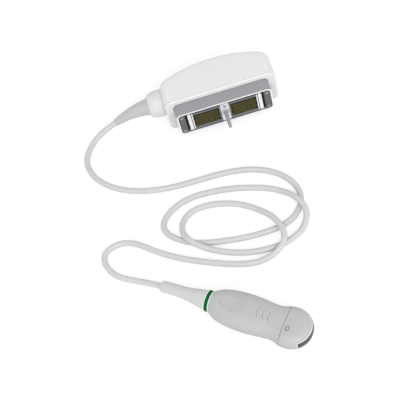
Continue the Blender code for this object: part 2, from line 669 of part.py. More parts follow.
def bore_screw(name, at, finish, carrier):
    """A face screw through its plate, and the clearance hole for it there and in the insulator."""
    x, depth, z = at
    hole = PLATE_SCREW_RADIUS / 2 + GAP
    length = 3 * INSULATOR_RECESS + depth
    way = drum(f"{name} hole", hole, (x, -INSULATOR_RECESS, z), length, TO_Y, CONNECTOR, None, 12)
    cut(carrier, way)
    cut(bpy.data.objects["insulator_body"], way)
    small_screw(name, at, finish)


def make_lock():
    steel = new_finish("shaft steel", (0.36, 0.36, 0.38), 0.3, 0.95)
    brass = new_finish("bush bronze", (0.55, 0.42, 0.22), 0.4, 0.9)
    lever_grey = new_finish("lever grey", (0.55, 0.56, 0.57), 0.45)
    well_white = new_finish("well white", (0.72, 0.72, 0.73), 0.45)
    step_depth = INSULATOR_RECESS + 2 * GAP
    well_rim = DOME_DEPTH - WELL_SINK
    floor = well_rim - WELL_DEPTH
    lever_back = floor + SLIDE
    lever_top = lever_back + LEVER_HEIGHT
    screw_seat = lever_top - LEVER_SCREW_HEAD - GAP
    shoulder = floor - WELL_FLOOR - SLIDE
    chamfer = 0.5 * MM
    # Heights run along the shaft from its tip, in front of the rim, to its tail under the lever's screw.
    profile = (
        (0, screw_seat - GAP + SHAFT_REACH),
        (SHAFT_TAIL_RADIUS, screw_seat - GAP + SHAFT_REACH),
        (SHAFT_TAIL_RADIUS, shoulder + SHAFT_REACH),
        (SHAFT_RADIUS, shoulder + SHAFT_REACH),
        (SHAFT_RADIUS, step_depth + BUSH_WALL + SHAFT_REACH),
        (SHAFT_TIP_RADIUS, step_depth + BUSH_WALL + SHAFT_REACH),
        (SHAFT_TIP_RADIUS, chamfer),
        (SHAFT_TIP_RADIUS - chamfer, 0),
        (0, 0),
    )
    turned("lock_shaft", profile, CONNECTOR, steel, (0, -SHAFT_REACH, 0), TO_Y, steps=20)
    bore = SHAFT_TIP_RADIUS + SLIDE
    barrel = bore + BUSH_WALL
    bush = (
        (barrel, step_depth + BUSH_WALL - SLIDE), (barrel, CONTACT_BLOCK_RECESS - GAP),
        (barrel + BUSH_FLANGE, CONTACT_BLOCK_RECESS - GAP), (barrel + BUSH_FLANGE, -GAP), (bore, -GAP),
        (bore, step_depth + BUSH_WALL - SLIDE),
    )
    turned("shaft_bush", bush, CONNECTOR, brass, (0, 0, 0), TO_Y, closed=True, steps=20)
    inner = WELL_RADIUS - WELL_WALL
    flange_top = DOME_DEPTH - HOUSING_WALL - WELL_SPARE
    tail_bore = SHAFT_TAIL_RADIUS + SLIDE
    flange = WELL_RADIUS + WELL_FLANGE
    well = (
        (inner, well_rim), (WELL_RADIUS, well_rim), (WELL_RADIUS, flange_top), (flange, flange_top),
        (flange, flange_top - WELL_FLOOR), (WELL_RADIUS, flange_top - WELL_FLOOR),
        (WELL_RADIUS, floor - WELL_FLOOR), (tail_bore, floor - WELL_FLOOR), (tail_bore, floor), (inner, floor),
    )
    turned("lever_well", well, CONNECTOR, well_white, (0, 0, 0), TO_Y, closed=True, steps=32)
    half, end = LEVER_HALF_LENGTH - LEVER_HALF_WIDTH, LEVER_HALF_WIDTH
    loop = arc((half, 0), end, -math.pi / 2, math.pi / 2, 8)
    loop += arc((-half, 0), end, math.pi / 2, 3 * math.pi / 2, 8)
    lever = depth_plate("lock_lever", [loop], lever_back, lever_top, lever_grey, LEVER_EDGE)
    for tool, radius, start in (
        ("lever bore", SHAFT_TAIL_RADIUS, lever_back - MM), ("screw seat", LEVER_SCREW_RADIUS, screw_seat - GAP),
    ):
        cut(lever, drum(tool, radius + GAP, (0, start, 0), LEVER_HEIGHT + 2 * MM, TO_Y, CONNECTOR, None, 24))
    head = (
        (0, LEVER_SCREW_HEAD), (LEVER_SCREW_RADIUS - SCREW_CHAMFER, LEVER_SCREW_HEAD),
        (LEVER_SCREW_RADIUS, LEVER_SCREW_HEAD - SCREW_CHAMFER), (LEVER_SCREW_RADIUS, 0), (0, 0),
    )
    turned("lever_screw", head, CONNECTOR, steel, (0, screw_seat, 0), TO_Y, steps=24)


def make_connector_board():
    green = new_finish("board green", (0.03, 0.16, 0.06), 0.5)
    front = INSULATOR_RECESS + INSULATOR_DEPTH + GAP
    x = HOUSING_HALF_LENGTH - SCREW_FRONT_INSET - BOSS_RADIUS - CONNECTOR_BOARD_SPARE
    z = CONNECTOR_BOARD_HALF_HEIGHT
    loop = rounded_rectangle((-x, -z), (x, z), BOARD_THICKNESS, 2)
    board = depth_plate("connector_board", [loop], front, front + BOARD_THICKNESS, green)
    cut(board, bpy.data.objects["shaft way"])
    sheath = new_finish("inner harness", (0.25, 0.25, 0.27), 0.6)
    end = front + BOARD_THICKNESS + GAP
    inside = -HOUSING_HALF_LENGTH - COLLAR_LENGTH + BOOT_SPIGOT + GAP
    across = HARNESS_TURN_END - HOUSING_HALF_LENGTH
    behind_boss = SCREW_FRONT_DEPTH + BOSS_RADIUS + HARNESS_SPARE + HARNESS_RADIUS
    turn = Vector((HARNESS_TURN_START - HOUSING_HALF_LENGTH, max(GLAND_DEPTH, behind_boss), 0))
    bend = easy_bend(turn, (1, 0, 0), (across, end + 2 * MM, 0), (0, -1, 0), 7 * MM, 6)
    points = [Vector((inside, GLAND_DEPTH, 0)), *bend, Vector((across, end, 0))]
    tube("connector_harness", points, [HARNESS_RADIUS] * len(points), CONNECTOR, sheath, 2)


def make_gland():
    white = new_finish("collar white", (0.78, 0.78, 0.79), 0.42)
    length, radius = COLLAR_LENGTH, COLLAR_RADIUS
    neck_end = -HOUSING_WALL - GAP
    # Heights run outwards along the cable's axis from the housing's side.
    profile = (
        (BOOT_ROOT_RADIUS + 0.4 * MM, length), (radius * 0.80, length * 0.91), (radius * 0.90, length * 0.77),
        (radius * 0.98, length * 0.5), (radius, GAP), (COLLAR_NECK, GAP),
        (COLLAR_NECK, neck_end), (COLLAR_FLANGE, neck_end), (COLLAR_FLANGE, neck_end - COLLAR_FLANGE_THICKNESS),
        (COLLAR_BORE, neck_end - COLLAR_FLANGE_THICKNESS), (COLLAR_BORE, length),
    )
    place_at = (-HOUSING_HALF_LENGTH, GLAND_DEPTH, 0)
    turned("gland_collar", profile, CONNECTOR, white, place_at, TO_MINUS_X, closed=True, steps=32)


def make_connector_boot(cable_start, cable_direction):
    """A tapered boot that leaves the collar straight and droops to the height of the free cable."""
    grey = new_finish("boot grey", (0.62, 0.62, 0.64), 0.5)
    axis_height = HOUSING_THICKNESS / 2
    collar_end = -HOUSING_HALF_LENGTH - COLLAR_LENGTH
    spigot = COLLAR_BORE - GAP
    root = Vector((collar_end - GAP, 0, axis_height))
    end = Vector(cable_start) - GAP * Vector(cable_direction)
    bend = easy_bend(root, (-1, 0, 0), end, cable_direction, 14 * MM, 12)
    shares = np.linspace(0, 1, len(bend))
    radii = [BOOT_ROOT_RADIUS + (BOOT_TIP_RADIUS - BOOT_ROOT_RADIUS) * share**0.9 for share in shares]
    points = [Vector((collar_end + BOOT_SPIGOT, 0, axis_height)), root + Vector((0.01 * MM, 0, 0)), *bend]
    tube("connector_boot", points, [spigot, spigot, *radii], None, grey, 6)


def make_cable():
    sheath = new_finish("cable sheath", (0.74, 0.74, 0.75), 0.45)
    points = [Vector(p) for p in cable_centreline()]
    tube("cable", points, [CABLE_RADIUS] * len(points), None, sheath, 2)
    return points


def handle_size(s, inset):
    """Half-width, half-depth and squareness of the handle's section at a distance from the ring."""
    table = list(zip(HANDLE_HALF_WIDTHS, HANDLE_HALF_DEPTHS, HANDLE_SQUARENESS))
    width, depth, power = natural_spline(HANDLE_STATIONS, table, [s / MM])[0]
    return width * MM - inset, depth * MM - inset, power


def section_point(s, inset, angle):
    width, depth, power = handle_size(s, inset)
    across, up = math.cos(angle), math.sin(angle)
    y = width * math.copysign(abs(across) ** (2 / power), across)
    z = depth * math.copysign(abs(up) ** (2 / power), up)
    return Vector((s, y, z))


def surface_height(s, y):
    width, depth, power = handle_size(s, 0)
    return depth * (1 - (abs(y) / width) ** power) ** (1 / power)


def add_rings(bm, rings):
    """Quads between successive closed rings of points. The rings' vertices are returned."""
    made = [[bm.verts.new(point) for point in ring] for ring in rings]
    for near, far in zip(made, made[1:]):
        for i in range(len(near)):
            j = (i + 1) % len(near)
            bm.faces.new((near[i], near[j], far[j], far[i]))
    return made


def half_shell(name, side, finish):
    """One half of the grip: a C-shaped section lofted from the ring to the seam."""
    angles = np.linspace(0, side * math.pi, 15)
    stations = np.linspace(HANDLE_START, SEAM - GAP / 2, 19)
    shift = Vector((0, 0, side * GAP / 2))
    rings = []
    for s in stations:
        outer = [section_point(s, 0, a) + shift for a in angles]
        inner = [section_point(s, HANDLE_WALL, a) + shift for a in reversed(angles)]
        rings.append(outer + inner)
    bm = bmesh.new()
    made = add_rings(bm, rings)
    for ring in (made[0], made[-1]):
        last = len(ring) - 1
        for i in range(len(angles) - 1):
            bm.faces.new((ring[i], ring[i + 1], ring[last - i - 1], ring[last - i]))
    return place(name, mesh_of(name, bm), HANDLE, finish)


def nose_form(name, rings_before, inset, finish, count):
    """The head: lofted up to its centre, then its half-section turned round the front."""
    angles = np.linspace(0, 2 * math.pi, 4 * count + 1)[:-1]
    rings = [[section_point(s, ring_inset, a) for a in angles] for s, ring_inset in rings_before]
    stations = np.linspace(SEAM + 2.5 * MM, HEAD_CENTRE, 4)
    rings += [[section_point(s, inset, a) for a in angles] for s in stations]
    bm = bmesh.new()
    made = add_rings(bm, rings)
    bm.faces.new(made[0])
    width, depth, power = handle_size(HEAD_CENTRE, inset)
    turns = 2 * count
    columns = []
    for k in range(turns + 1):
        around = math.pi / 2 - math.pi * k / turns
        column = []
        for j in range(2 * count + 1):
            tilt = math.pi / 2 - math.pi * j / (2 * count)
            radius = width * abs(math.cos(tilt)) ** (2 / power)
            height = depth * math.copysign(abs(math.sin(tilt)) ** (2 / power), math.sin(tilt))
            x, y = HEAD_CENTRE + radius * math.cos(around), radius * math.sin(around)
            column.append(bm.verts.new((x, y, height)))
        columns.append(column)
    for near, far in zip(columns, columns[1:]):
        for j in range(2 * count):
            bm.faces.new((near[j], near[j + 1], far[j + 1], far[j]))
    bmesh.ops.remove_doubles(bm, verts=bm.verts, dist=0.005 * MM)
    return place(name, mesh_of(name, bm), HANDLE, finish)


def sector(name, profile, half_angle, finish, steps=20):
    """A (radius, height) outline swept about the head's centre, as far to each side."""
    bm = bmesh.new()
    corners = [bm.verts.new((r * math.cos(half_angle), -r * math.sin(half_angle), h)) for r, h in profile]
    face = bm.faces.new(corners)
    bmesh.ops.spin(
        bm, geom=[face, *face.edges, *face.verts], cent=(0, 0, 0), axis=(0, 0, 1),
        angle=2 * half_angle, steps=steps, use_duplicate=False,
    )
    bmesh.ops.remove_doubles(bm, verts=bm.verts, dist=0.001 * MM)
    return place(name, mesh_of(name, bm), HANDLE, finish, (HEAD_CENTRE, 0, 0))


def make_handle_shells():
    grey = new_finish("handle grey", (0.60, 0.60, 0.61), 0.5)
    upper = half_shell("handle_shell_upper", 1, grey)
    lower = half_shell("handle_shell_lower", -1, grey)
    bm = bmesh.new()
    bmesh.ops.create_uvsphere(bm, u_segments=48, v_segments=24, radius=1)
    bmesh.ops.scale(bm, vec=THUMB_BOWL, verts=bm.verts)
    above = surface_height(THUMB_AT, 0) + THUMB_BOWL[2] - THUMB_DEPTH
    cut(upper, place("thumb recess", mesh_of("thumb recess", bm), HANDLE, None, (THUMB_AT, 0, above)))
    for number in range(GROOVE_COUNT):
        middle = GROOVE_FIRST + number * GROOVE_PITCH
        points = []
        for y in np.linspace(-GROOVE_HALF_CHORD, GROOVE_HALF_CHORD, 9):
            s = middle + GROOVE_BOW * (y / GROOVE_HALF_CHORD) ** 2
            points.append(Vector((s, y, surface_height(s, y) + GROOVE_RADIUS / 2)))
        cut(upper, tube(f"grip groove {number + 1}", points, [GROOVE_RADIUS] * 9, HANDLE, None, 1))
    for number, s in enumerate(BOARD_POSTS, 1):
        floor = surface_height(s, 0) - HANDLE_WALL / 2
        top = BOARD_THICKNESS / 2 + GAP
        foot, length = (s, 0, -floor), floor - top
        join(lower, drum(f"board post {number}", BOARD_POST_RADIUS, foot, length, (0, 0, 0), HANDLE, None, 16))


def make_nose():
    grey = new_finish("nose grey", (0.62, 0.62, 0.63), 0.5)
    tongue_inset = HANDLE_WALL + GAP
    start, face = SEAM - TONGUE_LENGTH, SEAM + GAP / 2
    nose = nose_form("nose_shell", [(start, tongue_inset), (face, tongue_inset), (face, 0)], 0, grey, 9)
    hollow_inset = tongue_inset + TONGUE_WALL
    before = [(start - 1 * MM, hollow_inset), (face + 0.5 * MM, hollow_inset)]
    cut(nose, nose_form("nose hollow", before, HANDLE_WALL, None, 5))
    half = LENS_HALF_HEIGHT + GAP
    inside = HEAD_RADIUS - 2 * LENS_THICKNESS - MATCHING_THICKNESS
    outside = HEAD_RADIUS + 3 * MM
    window = [(inside, -half), (outside, -half), (outside, half), (inside, half)]
    spare = GAP / HEAD_RADIUS
    cut(nose, sector("lens window", window, LENS_HALF_ANGLE + spare, None))
    points = []
    for a in np.linspace(0, 2 * math.pi, 25)[:-1]:
        s, y = MARK_AT[0] + MARK_SIZE[0] * math.cos(a), MARK_AT[1] + MARK_SIZE[1] * math.sin(a)
        points.append(Vector((s, y, surface_height(min(s, HEAD_CENTRE), y))))
    join(nose, bead_ring("orientation bead", points, MARK_BEAD))


def bead_ring(name, points, radius):
    """A closed round bead through points, as a tool that is joined to the piece that carries it."""
    curve = bpy.data.curves.new(name, "CURVE")
    curve.dimensions = "3D"
    curve.bevel_depth = radius
    curve.bevel_resolution = 1
    spline = curve.splines.new("POLY")
    spline.points.add(len(points) - 1)
    spline.use_cyclic_u = True
    for point, place_at in zip(spline.points, points):
        point.co = (*place_at, 1)
    return place(name, mesh_of(name, curve_mesh(name, curve)), HANDLE, None)


def make_array_stack():
    rubber = new_finish("lens rubber", (0.07, 0.07, 0.075), 0.45)
    ceramic = new_finish("array ceramic", (0.55, 0.50, 0.36), 0.5)
    layer = new_finish("matching layer", (0.30, 0.22, 0.12), 0.5)
    backing = new_finish("backing black", (0.04, 0.04, 0.045), 0.7)
    copper = new_finish("flex circuit", (0.55, 0.30, 0.08), 0.45)
    half = LENS_HALF_HEIGHT
    crown = HEAD_RADIUS + LENS_CROWN
    depth_at_edge = (1 - (half / HEAD_HALF_THICKNESS) ** HANDLE_SQUARENESS[-1]) ** (1 / HANDLE_SQUARENESS[-1])
    edge = HEAD_RADIUS * depth_at_edge
    inner = HEAD_RADIUS - LENS_THICKNESS
    bulge = [(edge + (crown - edge) * (1 - (h / half) ** 2), h) for h in np.linspace(-half, half, 7)]
    sector("acoustic_lens", [(inner, -half), *bulge, (inner, half)], LENS_HALF_ANGLE, rubber, 24)
    radius = inner - GAP
    narrower = LENS_HALF_ANGLE - math.radians(2)
    for name, thickness, finish in (
        ("matching_layer", MATCHING_THICKNESS, layer), ("transducer_array", ARRAY_THICKNESS, ceramic),
        ("backing_block", BACKING_THICKNESS, backing),
    ):
        low = radius - thickness
        sector(name, [(low, -half), (radius, -half), (radius, half), (low, half)], narrower, finish)
        radius = low - GAP
    top = half + GAP
    board_top = BOARD_THICKNESS / 2 + GAP
    for name, side in (("flex_upper", 1), ("flex_lower", -1)):
        path = [
            (HEAD_CENTRE + FLEX_REACH, top), (HEAD_CENTRE, top), (HEAD_CENTRE - 0.75 * FLEX_REACH, 0.75 * top),
            (HANDLE_BOARD_END, board_top + 2 * GAP), (HANDLE_BOARD_END - FLEX_LAP / 3, board_top),
            (HANDLE_BOARD_END - FLEX_LAP, board_top),
        ]
        flex_strip(name, [(s, side * z) for s, z in path], side, copper)


def flex_strip(name, path, side, finish):
    """A bent strip on one face of the backing block and the board, thickened away from them."""
    bm = bmesh.new()
    rows = [[bm.verts.new((s, y, z)) for s, z in path] for y in (-FLEX_HALF_WIDTH, FLEX_HALF_WIDTH)]
    for i in range(len(path) - 1):
        corners = (rows[0][i], rows[0][i + 1], rows[1][i + 1], rows[1][i])
        bm.faces.new(corners if side < 0 else corners[::-1])
    mesh = bpy.data.meshes.new(name)
    bm.to_mesh(mesh)
    bm.free()
    strip = place(name, mesh, HANDLE, finish)
    solidify = strip.modifiers.new("thickness", "SOLIDIFY")
    solidify.thickness = FLEX_THICKNESS
    solidify.offset = 1 if strip.data.polygons[0].normal.z * side > 0 else -1


def make_handle_inside():
    green = new_finish("handle board green", (0.03, 0.16, 0.06), 0.5)
    sheath = new_finish("handle harness", (0.25, 0.25, 0.27), 0.6)
    y, z = HANDLE_BOARD_HALF_WIDTH, BOARD_THICKNESS / 2
    box("handle_board", (HANDLE_BOARD_START, -y, -z), (HANDLE_BOARD_END, y, z), HANDLE, green)
    start, end = -RING_HALF_WIDTH + GAP, HANDLE_BOARD_START - GAP
    points = [Vector((start, 0, 0)), Vector(((start + end) / 2, 0, 0)), Vector((end, 0, 0))]
    tube("handle_harness", points, [HARNESS_RADIUS] * 3, HANDLE, sheath, 2)


def make_ring():
    green = new_finish("ring green", (0.0, 0.16, 0.03), 0.4)
    white = new_finish("collar light", (0.80, 0.80, 0.81), 0.42)
    half, hub = RING_HALF_WIDTH, RING_RADIUS - RING_WALL
    edge = 0.3 * MM
    ring = (
        (RING_RADIUS - edge, half), (RING_RADIUS, half - edge), (RING_RADIUS, edge - half),
        (RING_RADIUS - edge, -half), (hub, -half), (hub, half),
    )
    turned("colour_ring", ring, HANDLE, green, (0, 0, 0), TO_X, closed=True, steps=36)
    lip = RING_RADIUS + COLLAR_LIP_RISE
    bore = HARNESS_RADIUS + GAP
    collar = (
        (HANDLE_COLLAR_SPIGOT, HANDLE_COLLAR_REACH), (HANDLE_COLLAR_SPIGOT, half + GAP + COLLAR_LIP),
        (lip, half + GAP + COLLAR_LIP), (lip, half + GAP), (hub - GAP, half + GAP), (hub - GAP, -half),
        (bore, -half), (bore, HANDLE_COLLAR_REACH),
    )
    turned("ring_collar", collar, HANDLE, white, (0, 0, 0), TO_X, closed=True, steps=32)


def make_handle_boot(cable_end, cable_direction):
    """A boot that leaves the ring along the handle and bends down to the free cable."""
    white = new_finish("handle boot white", (0.74, 0.74, 0.75), 0.48)
    level = math.cos(HANDLE_TILT)
    axis = Vector((level * math.cos(HANDLE_HEADING), level * math.sin(HANDLE_HEADING), -math.sin(HANDLE_TILT)))
    start = Vector(HANDLE_RING) - (RING_HALF_WIDTH + GAP) * axis
    end = Vector(cable_end) + GAP * Vector(cable_direction)
    path = easy_bend(start, -axis, end, -Vector(cable_direction), 17 * MM, 40)
    total = lengths_along(path)[-1]
    longest = HANDLE_BOOT[-1][0]
    wanted = [total * distance / longest for distance, _ in HANDLE_BOOT]
    fine = sorted({*wanted, *np.linspace(wanted[2], wanted[-2], 14)})
    radii = np.interp(fine, wanted, [radius * MM for _, radius in HANDLE_BOOT])
    tube("handle_boot", at_lengths(path, fine), radii, None, white, 6)


def main():
    make_housing()
    make_skirt()
    make_contacts()
    make_face_hardware()
    make_lock()
    make_connector_board()
    make_gland()
    cable = make_cable()
    make_connector_boot(cable[0], (cable[1] - cable[0]).normalized())
    make_handle_boot(cable[-1], (cable[-1] - cable[-2]).normalized())
    make_ring()
    make_handle_shells()
    make_nose()
    make_array_stack()
    make_handle_inside()


clear_scene()
PARTS = new_collection("ultrasound transducer probe")
CUTTERS = new_collection("cutters")
CUTTERS.hide_render = True
CONNECTOR = new_frame("connector frame", (0, -GLAND_DEPTH, HOUSING_THICKNESS / 2))
HANDLE = new_frame("handle frame", HANDLE_RING, (0, HANDLE_TILT, HANDLE_HEADING))
main()
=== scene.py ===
"""Looks of an ultrasound transducer probe: a curved-array handle, its free cable and a locking connector.

Metres, +Z up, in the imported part's frame. The finer forms stand for the CAD solids of the same size,
and every piece has its place in its mesh.
"""

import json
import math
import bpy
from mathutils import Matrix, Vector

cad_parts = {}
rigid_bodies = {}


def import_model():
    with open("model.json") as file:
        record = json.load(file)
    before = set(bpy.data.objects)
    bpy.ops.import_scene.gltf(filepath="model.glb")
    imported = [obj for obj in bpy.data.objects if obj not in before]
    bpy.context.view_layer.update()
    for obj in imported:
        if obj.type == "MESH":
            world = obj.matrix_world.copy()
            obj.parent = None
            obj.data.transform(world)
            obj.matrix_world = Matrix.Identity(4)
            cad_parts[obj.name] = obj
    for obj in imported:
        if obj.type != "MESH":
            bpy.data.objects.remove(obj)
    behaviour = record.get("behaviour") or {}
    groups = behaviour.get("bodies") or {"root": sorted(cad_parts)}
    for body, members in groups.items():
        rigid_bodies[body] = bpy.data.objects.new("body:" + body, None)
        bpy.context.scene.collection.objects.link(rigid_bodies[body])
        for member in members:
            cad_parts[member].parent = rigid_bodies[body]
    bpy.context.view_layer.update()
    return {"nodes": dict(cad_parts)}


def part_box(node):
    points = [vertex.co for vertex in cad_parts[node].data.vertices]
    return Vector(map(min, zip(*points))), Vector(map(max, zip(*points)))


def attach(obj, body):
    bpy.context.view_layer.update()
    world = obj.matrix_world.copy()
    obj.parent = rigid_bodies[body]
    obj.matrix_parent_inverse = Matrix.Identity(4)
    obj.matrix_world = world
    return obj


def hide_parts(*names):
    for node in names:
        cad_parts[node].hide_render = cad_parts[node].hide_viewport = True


bl_info = {
    "name": "Ultrasound Transducer Probe Finish",
    "version": (1, 0, 0),
    "blender": (4, 5, 0),
    "location": "3D View > Sidebar > Probe",
    "description": "Dresses the packed ultrasound transducer probe with its finished forms and materials",
    "category": "Object",
}

import bmesh
import bpy
import numpy as np
from bpy.props import FloatProperty, FloatVectorProperty, IntProperty, PointerProperty
from bpy.types import Operator, Panel, PropertyGroup
from mathutils import Euler, Matrix, Vector

for leftover in list(bpy.data.objects):
    bpy.data.objects.remove(leftover, do_unlink=True)
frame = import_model()
CAD = frame["nodes"]

MM = 0.001

# The connector. Its frame has x along the contact face, y into the housing, z from mid-height.
HALF_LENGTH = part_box("housing_upper")[1].x
HALF_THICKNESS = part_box("housing_upper")[1].z / 2
SKIRT_LOW, SKIRT_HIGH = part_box("metal_skirt")
GLAND_DEPTH = -SKIRT_LOW.y
HOUSING_FACE = 15 * MM
DOME_DEPTH = 61.5 * MM
CONNECTOR = Matrix.Translation((0, SKIRT_LOW.y, HALF_THICKNESS))
HOUSING_WALL = 2.5 * MM
HOUSING_EDGE = 7 * MM
HOUSING_FACE_EDGE = 1.8 * MM
DOME_RADIUS = 138 * MM
DOME_CORNER = 12 * MM
PARTING = 0.12 * MM  # of each half from mid-height
SUPPORT = 0.4 * MM  # flat strip beside a rounded edge
FACE_LINE = (0.5 * MM, 0.6 * MM)  # width and depth of the moulded line behind the face's edge
SKIRT_HALF_LENGTH = 51.5 * MM
SKIRT_HALF_HEIGHT = 16.6 * MM
SKIRT_CORNER = 5.5 * MM
SKIRT_WALL = 1.8 * MM
SKIRT_EDGE = 0.35 * MM
MOUTH_GAP = 0.25 * MM
WELL_RADIUS = 15 * MM
WELL_HOLE_DEPTH = 6 * MM
WELL_DEPTH = 8 * MM
WELL_WALL = 1.8 * MM
WELL_EDGE = 0.5 * MM
WELL_FILLET = 1.2 * MM
WELL_BORE = 2.3 * MM
HOUSING_SCREWS = ((-49 * MM, 27.5 * MM), (49 * MM, 27.5 * MM), (-34 * MM, 49.5 * MM), (34 * MM, 49.5 * MM))
SCREW_HOLE = 2.6 * MM
SEAT_GAP = 0.3 * MM
SEAT_DEPTH = 10 * MM
MOUTH_DEPTH = 20 * MM  # behind the skirt's rim
CABLE_HOLE_RADIUS = 11 * MM
CABLE_HOLE_DEPTH = 8 * MM  # into the housing's end
SIDES = ("left", "right")
BLOCK_RECESS = 0.5 * MM
BLOCK_RISE = 0.25 * MM
BRIGHT_BAND_AT = 35.1 * MM  # of the contact frames, from the middle of the face
BRIGHT_BAND_HALF_WIDTH = 0.55 * MM
FRAME_FACE_DEPTH = 0.75 * MM  # from the skirt's rim; deeper, the frames' sides are painted near black as shade
COLLAR_RADIUS = 14.6 * MM
COLLAR_LENGTH = 17 * MM
COLLAR_BORE = 6.5 * MM
COLLAR_EDGE = 0.3 * MM
BOOT_ROOT_RADIUS = 9.2 * MM
BOOT_TIP_RADIUS = 3.8 * MM
BOOT_PULL = 14 * MM  # how far the boot's ends hold their directions
BOOT_SPIGOT = (6 * MM, 2.9 * MM)  # how far it reaches into the collar, and how much thinner it is there
SHAFT_REACH = 20.5 * MM
SHAFT_TIP_RADIUS = 1.8 * MM
SHAFT_TIP_EDGE = 0.5 * MM
SHAFT_SHOULDER = 4.8 * MM  # from the reach to where the shaft gets thicker
SHAFT_RADIUS = 2.5 * MM
SHAFT_TAIL = 6 * MM
SHAFT_TAIL_RADIUS = 1.9 * MM
LEVER_EDGE = 0.9 * MM
LEVER_SEAT_RADIUS = 3.2 * MM
LEVER_SEAT_DEPTH = 1.7 * MM

# The screws' heads: radius and height.
FACE_SCREW = (1.7 * MM, 0.55 * MM)
HOUSING_SCREW = (2.3 * MM, 1.2 * MM)
LEVER_SCREW = (2.9 * MM, 1.4 * MM)
SCREW_SPIN = 0.6
CROWN_RADIUS = 0.72  # of a head's crown at its top, in head radii
CROWN_HEIGHT = 0.45  # in head heights
CROWN_TOP = 0.95  # above the head's middle, in head heights
RECESS_REACH = 1.15  # length of the recess, in head radii
RECESS_WIDTH = 0.26  # in head radii
RECESS_DEPTH = 0.6  # in head heights

# The handle. Its frame has x along the handle from the coloured ring, z up through its thickness.
HANDLE_RING = Vector((-70.5, -244, 14.7)) * MM
HANDLE_BEARING = math.radians(-37.3)
HANDLE_TURN = Euler((0, math.radians(2), HANDLE_BEARING))
HANDLE = Matrix.Translation(HANDLE_RING) @ HANDLE_TURN.to_matrix().to_4x4()
HANDLE_START = 3.1 * MM
HANDLE_WALL = 2.2 * MM
SHELL_PARTING = 0.15 * MM  # of each shell from the handle's middle
SEAM = 78.3 * MM
SEAM_GAP = 0.15 * MM
SPIGOT_LENGTH = 4 * MM
SPIGOT_INSET = 2.6 * MM
HEAD_CENTRE = 84.3 * MM
HEAD_RADIUS = 20.6 * MM
HEAD_HALF_THICKNESS = 10.9 * MM
HANDLE_STATIONS = (3.1, 8, 14, 22, 32, 42, 52, 60, 67, 72, 78.3, 84.3)
HANDLE_HALF_WIDTHS = (10.9, 14.3, 16.6, 18.2, 19.1, 19.2, 18.5, 17.6, 17.1, 17.8, 20.0, 20.6)
HANDLE_HALF_DEPTHS = (10.8, 11.8, 12.4, 12.8, 13.0, 13.0, 12.5, 11.9, 11.4, 11.1, 10.9, 10.9)
HANDLE_SQUARENESS = (2.0, 2.05, 2.1, 2.2, 2.25, 2.3, 2.35, 2.4, 2.5, 2.6, 2.7, 2.8)
THUMB_AT = 22.2 * MM
THUMB_BOWL = (29.7 * MM, 48 * MM, 10 * MM)  # half-axes of the ellipsoid that hollows the recess
GROOVE_FIRST = 50.3 * MM
GROOVE_PITCH = 5.6 * MM
GROOVE_COUNT = 3
GROOVE_HALF_CHORD = 5 * MM
GROOVE_BOW = 1.9 * MM
MARK_AT = (83 * MM, -6.5 * MM)  # along and across the handle
MARK_SIZE = (1.5 * MM, 2.5 * MM)  # half-axes, along and across
LENS_HALF_ANGLE = math.radians(53)
LENS_HALF_HEIGHT = 5.1 * MM
LENS_THICKNESS = 2.6 * MM
LENS_CROWN = 0.3 * MM
LENS_GAP = 0.3 * MM
SEAL_RADIUS = 0.38 * MM
RING_RADIUS = 10.6 * MM
RING_HALF_WIDTH = 1.75 * MM
RING_WALL = 2.6 * MM
HANDLE_BOOT_PULL = 17 * MM  # how far the ends of the handle's boot hold their directions

# Along the handle's boot from the ring: distance and radius in millimetres.
HANDLE_BOOT = (
    (0, 10.3), (0.7, 10.3), (1.0, 9.8), (4, 9.5), (10, 8.6),
    (18, 7.1), (25, 6.3), (33, 5.95), (50, 5.9), (51.5, 5.3),
)

# The cable, from the connector's boot to the handle's, in metres.
CABLE_RADIUS = 3.1 * MM
CABLE_CLEARANCE = 0.1 * MM  # above the floor
CABLE_POINTS = 80
CABLE_ROUTE = (
    (-0.1153, -0.0012, 0.013), (-0.130, -0.0042, 0.0086), (-0.146, -0.0135, 0.004),
    (-0.156, -0.033, 0.0032), (-0.150, -0.058, 0.0032), (-0.120, -0.0845, 0.0032),
    (-0.066, -0.0969, 0.0032), (0.001, -0.1018, 0.0032), (0.035, -0.1213, 0.0032),
    (0.0465, -0.1495, 0.0032), (0.0355, -0.1712, 0.0032), (0.003, -0.181, 0.0032),
    (-0.045, -0.176, 0.0032), (-0.083, -0.1605, 0.0032), (-0.0953, -0.141, 0.0032),
    (-0.080, -0.1223, 0.0032), (-0.040, -0.116, 0.0032), (0.002, -0.1255, 0.0032),
    (0.028, -0.139, 0.0036), (0.0412, -0.157, 0.0097), (0.0462, -0.1715, 0.009),
    (0.0395, -0.1873, 0.0038), (0.007, -0.2004, 0.0032), (-0.036, -0.1925, 0.0032),
    (-0.060, -0.1802, 0.0064), (-0.0725, -0.170, 0.0101), (-0.0776, -0.154, 0.0074),
    (-0.070, -0.1365, 0.0034), (-0.038, -0.132, 0.0032), (0.001, -0.153, 0.0034),
    (0.015, -0.1755, 0.0097), (0.0167, -0.198, 0.0101), (0.001, -0.2096, 0.0056),
    (-0.048, -0.2016, 0.0032), (-0.112, -0.1627, 0.0032), (-0.141, -0.1448, 0.0032),
    (-0.1595, -0.152, 0.0032), (-0.157, -0.174, 0.0032), (-0.130, -0.195, 0.0036),
    (-0.1105, -0.2106, 0.0096),
)

